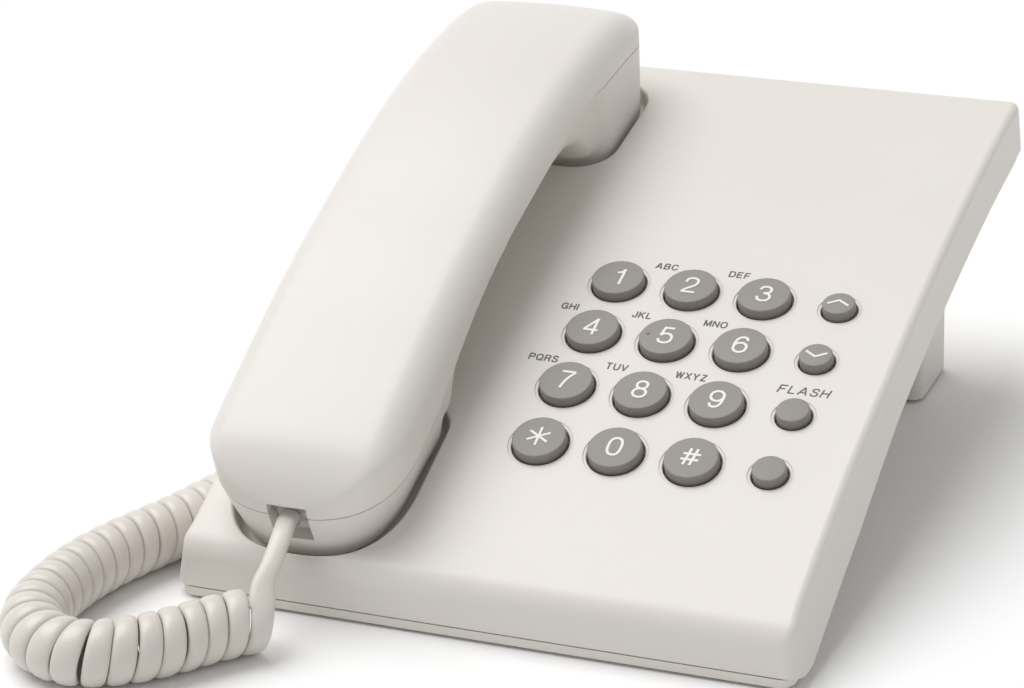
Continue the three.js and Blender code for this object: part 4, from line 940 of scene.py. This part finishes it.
def belowParting(gap):
    line = [(-30, 10.1)] + smooth(handset["parting"], 120) + [(240, 8)]
    outline = [(-110, v, w - gap) for v, w in line] + [(-110, 240, -60), (-110, -30, -60)]
    return prism("belowParting", outline, (140, 0, 0))


def bottomFrame(v, ends):
    span = handset["tiltSpan"]
    rise = blockBottom(v + span, ends) - blockBottom(v - span, ends)
    place = (handX, v, blockBottom(v, ends) + handset["bottomFillet"])
    return Matrix.Translation(place) @ Matrix.Rotation(math.atan(rise / (2 * span)), 4, "X")


def soundHoles():
    holes = []
    ear = bottomFrame(handset["earHoles"], earEnds)
    mouth = bottomFrame(handset["mouthHoles"], mouthEnds)
    r, step = handset["earHoleCircle"], handset["mouthHoleStep"]
    around = [(0, 0)] + [(r * math.cos(a), r * math.sin(a)) for a in fullTurn(6)]
    row = [(-step, 0), (0, 0), (step, 0)]
    for places, matrix, radius in ((around, ear, handset["earHoleRadius"]),
                                   (row, mouth, handset["mouthHoleRadius"])):
        for x, y in places:
            holes.append(turnedInto(upright("soundHole", radius, (-5, 1), 20, x, y), matrix))
    return holes


def screwWells():
    wells = []
    for v in handset["screws"]:
        low = readAt(handset["underside"], v)
        ends = (low - 5, low + handset["screwWellDepth"])
        wells.append(upright("screwWell", handset["screwWell"], ends, 32, handX, v))
    return wells


def copyOf(piece, name):
    copy = bpy.data.objects.new(name, piece.data.copy())
    scene.collection.objects.link(copy)
    return copy


def plugNotch():
    front = jack["front"]
    low, high = jack["notch"]
    right, back = jack["notchPlace"]
    notch = ((*jack["notchSize"], high - low), (handX + right, front + back, (high + low) / 2))
    return [block("notch", *notch),
            block("jackRoom", jack["room"], (handX, front + jack["roomPlace"], jack["height"]))]


def makeHandset():
    body = cutWith(cutWith(crownBand(), planPrism(), "INTERSECT"), belowParting(0))
    body = joined("handsetBody", [body, mouthBlock(), earBlock(), handleGrip()])
    applyModifier(body, "REMESH", mode="VOXEL", voxel_size=handset["voxel"] * milli, adaptivity=0)
    applyModifier(body, "SMOOTH", factor=0.5, iterations=handset["smoothing"])
    inner = copyOf(body, "handsetInner")
    outer = copyOf(body, "handsetOuter")
    bpy.data.objects.remove(body)
    cutWith(outer, belowParting(0))
    cutWith(inner, belowParting(handset["partingGap"]), "INTERSECT")
    for piece in (outer, inner):
        cutWith(piece, joined("notches", plugNotch()))
    cutWith(inner, joined("wells", soundHoles() + screwWells()))
    for piece, node in ((outer, "handset_outer_shell"), (inner, "handset_inner_shell")):
        turnedInto(piece, cradle)
        polish(piece, 40, weighted=False)
        settle(piece, handsetWhite, "casing_white", "handset", node)


makeHandset()
print("handset made")


# ---- keys and their lettering
lettering = {
    "digitHeight": 5.8, "digitStroke": 0.66, "hashHeight": 5.2, "letterHeight": 2.15,
    "letterStroke": 0.37, "letterGap": 0.19, "letterShift": (-9.0, 8.5), "flashHeight": 2.6,
    "flashWidth": 12.2, "flashStroke": 0.38, "flashLean": 0.16, "flashShift": 8.4,
    "thickness": 0.16, "sink": 0.05, "starSize": 5.8, "starStroke": 0.6, "chevronHalf": 2.6,
    "chevronStroke": 0.6, "sideGap": 0.06, "ringSteps": 32, "curveSteps": 6, "wordSink": 0.1,
    "strokeStagger": 0.004, "markStagger": 0.01,
    "groups": {"2": "ABC", "3": "DEF", "4": "GHI", "5": "JKL", "6": "MNO", "7": "PQRS", "8": "TUV",
               "9": "WXYZ"},
}
# Each sign's strokes, in hundredths of its height: two points are a straight, more a curve, and
# (x, y, rx, ry, power) a ring.
bowl = [(36, 95), (54, 90), (59, 75), (54, 58), (36, 52)]
stem = [(6, 0), (6, 100)]
roof = [(6, 95), (37, 95)]
waist = [(6, 52), (37, 52)]
sixCurve = [(57, 75), (50, 90), (35, 95), (17, 86), (8, 62), (7, 36)]
sill = [(6, 5), (37, 5)]
beam = [(6, 95), (60, 95)]
post = [(64, 0), (64, 100)]
oval = (39, 50, 33, 45, 2.3)
roundBack = [(59, 88), (39, 95), (15, 83), (7, 50), (15, 17), (39, 5)]
signs = {
    "0": [(33, 50, 27, 45, 2.5)],
    "1": [[(12, 74), (26, 78), (36, 88), (39, 98)], [(39, 0), (39, 100)]],
    "2": [[(8, 66), (14, 87), (33, 95), (53, 88), (59, 69), (49, 48), (26, 29), (10, 13), (7, 6)],
          [(3, 5), (62, 5)]],
    "3": [[(9, 74), (16, 90), (33, 95), (50, 89), (56, 74), (49, 59), (28, 53)],
          [(28, 53), (51, 48), (60, 30), (53, 12), (33, 5), (13, 12), (6, 30)]],
    "4": [[(47, 0), (47, 99)], [(47, 95), (5, 28)], [(2, 28), (65, 28)]],
    "5": [[(15, 95), (58, 95)], [(19, 98), (11, 46)],
          [(11, 48), (20, 58), (35, 61), (54, 54), (61, 34), (54, 13), (33, 5), (13, 11), (6, 27)]],
    "6": [sixCurve, (34, 33, 27, 28, 2.1)],
    "7": [[(4, 95), (62, 95)], [(61, 93), (43, 68), (29, 35), (22, 0)]],
    "8": [(33, 74, 22, 21, 2.1), (33, 29, 27, 24, 2.1)],
    "9": [[(67 - x, 100 - y) for x, y in sixCurve], (33, 67, 27, 28, 2.1)],
    "A": [[(3, 0), (37, 99)], [(37, 99), (71, 0)], [(14, 30), (60, 30)]],
    "B": [stem, roof, bowl, waist, [(36, 52), (57, 46), (63, 28), (56, 10), (36, 5)], sill],
    "C": [[(68, 68), *roundBack, (60, 13), (69, 34)]],
    "D": [stem, roof, [(36, 95), (60, 83), (67, 50), (60, 17), (36, 5)], sill],
    "E": [stem, beam, [(6, 52), (56, 52)], [(6, 5), (62, 5)]],
    "F": [stem, beam, [(6, 50), (53, 50)]],
    "G": [[(68, 70), *roundBack, (58, 12), (68, 30)], [(42, 47), (71, 47)], [(69, 0), (69, 50)]],
    "H": [stem, post, [(6, 52), (64, 52)]],
    "I": [stem],
    "J": [[(46, 100), (46, 28), (41, 10), (26, 5), (10, 12), (6, 32)]],
    "K": [stem, [(63, 100), (8, 38)], [(26, 60), (67, 0)]],
    "L": [stem, [(6, 5), (56, 5)]],
    "M": [stem, [(9, 98), (40, 4)], [(40, 4), (71, 98)], [(74, 0), (74, 100)]],
    "N": [stem, [(8, 96), (62, 4)], post],
    "O": [oval],
    "P": [stem, roof, [(36, 95), (55, 89), (60, 71), (55, 52), (36, 46)], [(6, 46), (37, 46)]],
    "Q": [oval, [(44, 26), (74, -2)]],
    "R": [stem, roof, [(36, 95), (56, 89), (61, 73), (56, 56), (36, 50)], [(6, 50), (37, 50)],
          [(38, 50), (56, 38), (58, 16), (63, 0)]],
    "S": [[(58, 71), (51, 89), (33, 95), (14, 88), (10, 72), (19, 58), (43, 50), (58, 38), (59, 21),
          (51, 8), (33, 4), (13, 10), (6, 31)]],
    "T": [[(2, 95), (64, 95)], [(33, 0), (33, 95)]],
    "U": [[(6, 100), (6, 36), (15, 10), (35, 5), (55, 10), (64, 36), (64, 100)]],
    "V": [[(3, 100), (35, 1)], [(35, 1), (67, 100)]],
    "W": [[(3, 100), (22, 1)], [(22, 1), (42, 98)], [(42, 98), (62, 1)], [(62, 1), (81, 100)]],
    "X": [[(4, 0), (63, 100)], [(4, 100), (63, 0)]],
    "Y": [[(3, 100), (34, 44)], [(65, 100), (34, 44)], [(34, 0), (34, 46)]],
    "Z": [[(5, 95), (60, 95)], [(60, 95), (5, 5)], [(3, 5), (63, 5)]],
    "#": [[(4, 66), (86, 66)], [(0, 33), (82, 33)], [(20, 0), (34, 100)], [(50, 0), (64, 100)]],
}


def strokeLine(stroke):            # its points, one high, and whether it closes on itself
    if isinstance(stroke, tuple):
        *ring, power = stroke
        x, y, rx, ry = (n / 100 for n in ring)
        return [(x + rx * powered(math.cos(a), 2 / power), y + ry * powered(math.sin(a), 2 / power))
                for a in fullTurn(lettering["ringSteps"])], True
    line = [(x / 100, y / 100) for x, y in stroke]
    return (smooth(line, lettering["curveSteps"] * (len(line) - 1)) if len(line) > 2 else line), False


def strokeSolid(line, closed, width, height):
    rings = []
    count = len(line)
    for i, (x, y) in enumerate(line):
        ahead = line[(i + 1) % count] if closed else line[min(i + 1, count - 1)]
        behind = line[i - 1] if closed else line[max(i - 1, 0)]
        dx, dy = ahead[0] - behind[0], ahead[1] - behind[1]
        length = math.hypot(dx, dy)
        nx, ny = -dy / length * width / 2, dx / length * width / 2
        rings.append([(x + nx, y + ny, 0), (x + nx, y + ny, height),
                      (x - nx, y - ny, height), (x - nx, y - ny, 0)])
    return loft("stroke", rings + rings[:1], ends=False) if closed else loft("stroke", rings)


def printed(name, words, height, stroke, width=None, lean=0.0):   # centred on the origin, lying flat
    lines = []
    place = 0.0
    gap = lettering["sideGap"] + lettering["letterGap"]
    for sign in words:
        body = [strokeLine(part) for part in signs[sign]]
        lines += [([(x + place, y) for x, y in line], closed) for line, closed in body]
        place += max(x for line, _ in body for x, _ in line) + gap
    span = place - gap
    across = width / span if width else height
    pieces = []
    for i, (line, closed) in enumerate(lines):
        placed = [((x - span / 2 + lean * (y - 0.5)) * across, (y - 0.5) * height) for x, y in line]
        thickness = lettering["thickness"] - lettering["strokeStagger"] * (i % 5)
        pieces.append(strokeSolid(placed, closed, stroke, thickness))
    return joined(name, pieces)


def keyProfile(radius):
    foot = pad["flangeTop"] - pad["flangeHeight"]
    outer = radius + pad["flange"]
    edge, top = pad["edge"], pad["height"]
    shelf, cut = pad["flangeTop"], pad["flangeEdge"]
    profile = [(outer - cut, foot), (outer, foot + cut), (outer, shelf - cut),
               (outer - cut, shelf), (radius, shelf + 0.02)]
    profile += [(radius - edge * (1 - math.cos(a)), top - edge * (1 - math.sin(a))) for a in quarter(6)]
    return profile + [(radius * share, top + rise) for share, rise in pad["crown"]]


def markThickness(i):              # crossing bars end at slightly different heights
    return lettering["thickness"] - lettering["markStagger"] * i


def starMark():
    bars = []
    for i in range(3):
        size = (lettering["starStroke"], lettering["starSize"], markThickness(i))
        turn = Matrix.Rotation(math.radians(60 * i), 4, "Z")
        bars.append(block("bar", size, (0, 0, size[2] / 2), turn))
    return joined("star", bars)


def chevronMark(upwards):
    half, sign = lettering["chevronHalf"], 1 if upwards else -1
    arms = []
    for i, side in enumerate((-1, 1)):     # each arm passes the middle a little
        line = [(side * half, -0.75 * sign), (-side * 0.12, 0.95 * sign)]
        arms.append(strokeSolid(line, False, lettering["chevronStroke"], markThickness(i)))
    return joined("chevron", arms)


def markFor(sign):
    if sign.isdigit():
        return printed("digit", sign, lettering["digitHeight"], lettering["digitStroke"])
    if sign == "hash":
        return printed("hash", "#", lettering["hashHeight"], lettering["digitStroke"])
    if sign == "star":
        return starMark()
    return chevronMark(sign == "up") if sign in ("up", "down") else None


def addWords(name, words, x, s, *sizes, **more):
    piece = printed("letters_" + name, words, *sizes, **more)
    turnedInto(piece, frameAt(x, s, -lettering["wordSink"]))
    settle(piece, inkGrey, "casing_white", "base")


def makeKeys():
    markHeight = pad["height"] + pad["crown"][-1][1] - lettering["sink"]
    shiftX, shiftS = lettering["letterShift"]
    patterns = {}
    for kind, radius in (("dial", pad["dialRadius"]), ("function", pad["functionRadius"])):
        patterns[kind] = loft(kind + "Key", circleRings(keyProfile(radius), pad["sides"]))
        polish(patterns[kind], 35)
    for r, s in enumerate(rows):
        for c, x in enumerate(columns):
            name = keyNames[r][c]
            sign = name.removeprefix("key_")
            key = copyOf(patterns["dial" if c < 3 else "function"], "cap_" + sign)
            if name == "key_5":
                startPiece()
                bpy.ops.mesh.primitive_uv_sphere_add(segments=16, ring_count=8,
                                                     radius=pad["nibRadius"] * milli)
                place = Matrix.Translation((pad["nibX"], 0, pad["height"] - pad["nibSink"]))
                nib = turnedInto(bpy.context.object, place)
                key = joined("cap_5", [key, nib])
                polish(key, 35, weighted=False)
            turnedInto(key, frameAt(x, s))
            settle(key, keyGrey, "key_grey", name, name)
            mark = markFor(sign)
            if mark:
                mark.name = "mark_" + sign
                turnedInto(mark, frameAt(x, s, markHeight))
                settle(mark, inkWhite, "key_grey", name)
            if sign in lettering["groups"]:
                addWords(sign, lettering["groups"][sign], x + shiftX, s + shiftS,
                         lettering["letterHeight"], lettering["letterStroke"])
    addWords("flash", "FLASH", columns[3], rows[1] + lettering["flashShift"], lettering["flashHeight"],
             lettering["flashStroke"], lettering["flashWidth"], lean=lettering["flashLean"])
    for pattern in patterns.values():
        bpy.data.objects.remove(pattern)


makeKeys()
print("keys made")


# ---- pieces that keep their solids' shape, with broken edges
slotFinish = {
    "mat_grey": greyRubber, "rubber_black": blackRubber, "board_green": boardFinish, "steel": steel,
    "plastic_black": blackPlastic, "clear_plastic": clear, "key_grey": keyGrey,
    "casing_white": casingWhite, "cord_white": cordWhite,
}
softened = {
    "base_bottom_cover": ("bottomCover", 0.35, "casing_white"),
    "desk_stand": ("deskStand", 0.7, "casing_white"),
    "front_foot_left": ("frontFootLeft", 0.3, "rubber_black"),
    "front_foot_right": ("frontFootRight", 0.3, "rubber_black"),
    "ringer_knob": ("ringerKnob", 0.25, "key_grey"),
    "line_jack": ("lineJack", 0.2, "plastic_black"),
    "base_cord_jack": ("baseCordJack", 0.2, "plastic_black"),
    "handset_cord_jack": ("handsetCordJack", 0.2, "plastic_black"),
    "handset_plug": ("handsetPlug", 0.2, "clear_plastic"),
    "base_plug": ("basePlug", 0.2, "clear_plastic"),
}
nodeBody = {node: body for body, nodes in frame["record"]["behaviour"]["bodies"].items()
            for node in nodes}


def soften(node, name, width, slot):
    piece = copyOf(frame["nodes"][node], name)
    for key in [k for k in piece.keys() if k.startswith("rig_")]:
        del piece[key]
    inEditMode(piece, lambda: bpy.ops.mesh.remove_doubles(threshold=1e-6))
    inEditMode(piece, lambda: bpy.ops.mesh.dissolve_limited(angle_limit=math.radians(1)))
    applyModifier(piece, "BEVEL", width=width * milli, segments=2, limit_method="ANGLE",
                  angle_limit=math.radians(35), use_clamp_overlap=True)
    polish(piece, 35)
    settle(piece, slotFinish[slot], slot, nodeBody[node], node)


for nodeName, values in softened.items():
    soften(nodeName, *values)
for part in frame["record"]["subparts"]:
    node = frame["nodes"][part["node"]]
    node.data.materials.clear()
    node.data.materials.append(slotFinish[part["material_slot"]])
print("finishes given")


# ---- floor, lamps and world
studio = {
    "floor": linear(251, 251, 251), "floorSize": 6, "ambient": 0.44, "sunFrom": (-0.42, 0.08, 0.9),
    "sun": 2.1, "sunAngle": 50,
}


def makeStudio():
    startPiece()
    bpy.ops.mesh.primitive_plane_add(size=studio["floorSize"])
    floor = bpy.context.object
    floor.name = "floor"
    finish = Finish("floorPaper", IOR=1.4)
    cloud = finish.noise(3, 2, 0.5)
    tone = studio["floor"]
    floor.data.materials.append(finish.set(
        Base_Color=finish.blend(cloud, tone, tuple(c * 0.99 for c in tone)),
        Roughness=0.85 + cloud * 0.1))
    world = bpy.data.worlds.new("studioWorld")
    world.use_nodes = True
    scene.world = world
    tree = world.node_tree
    light = tree.nodes["Background"]
    rays = tree.nodes.new("ShaderNodeLightPath").outputs

    def larger(first, second):     # a node's output, the larger of two sockets
        node = tree.nodes.new("ShaderNodeMath")
        node.operation = "MAXIMUM"
        tree.links.new(first, node.inputs[0])
        tree.links.new(second, node.inputs[1])
        return node.outputs[0]

    # The world is white where a ray sees it, and dimmer where it only lights.
    seen = larger(larger(rays["Is Camera Ray"], rays["Is Glossy Ray"]), rays["Is Transmission Ray"])
    strength = tree.nodes.new("ShaderNodeMapRange")
    tree.links.new(seen, strength.inputs["Value"])
    strength.inputs["To Min"].default_value = studio["ambient"]
    strength.inputs["To Max"].default_value = 1
    tree.links.new(strength.outputs["Result"], light.inputs["Strength"])
    light.inputs["Color"].default_value = (1, 1, 1, 1)
    data = bpy.data.lights.new("softSun", "SUN")
    data.energy = studio["sun"]
    data.angle = math.radians(studio["sunAngle"])
    lamp = bpy.data.objects.new("softSun", data)
    scene.collection.objects.link(lamp)
    lamp.rotation_euler = (-Vector(studio["sunFrom"])).to_track_quat("-Z", "Y").to_euler()


makeStudio()
scene.view_settings.view_transform = "Standard"
print("studio lit")
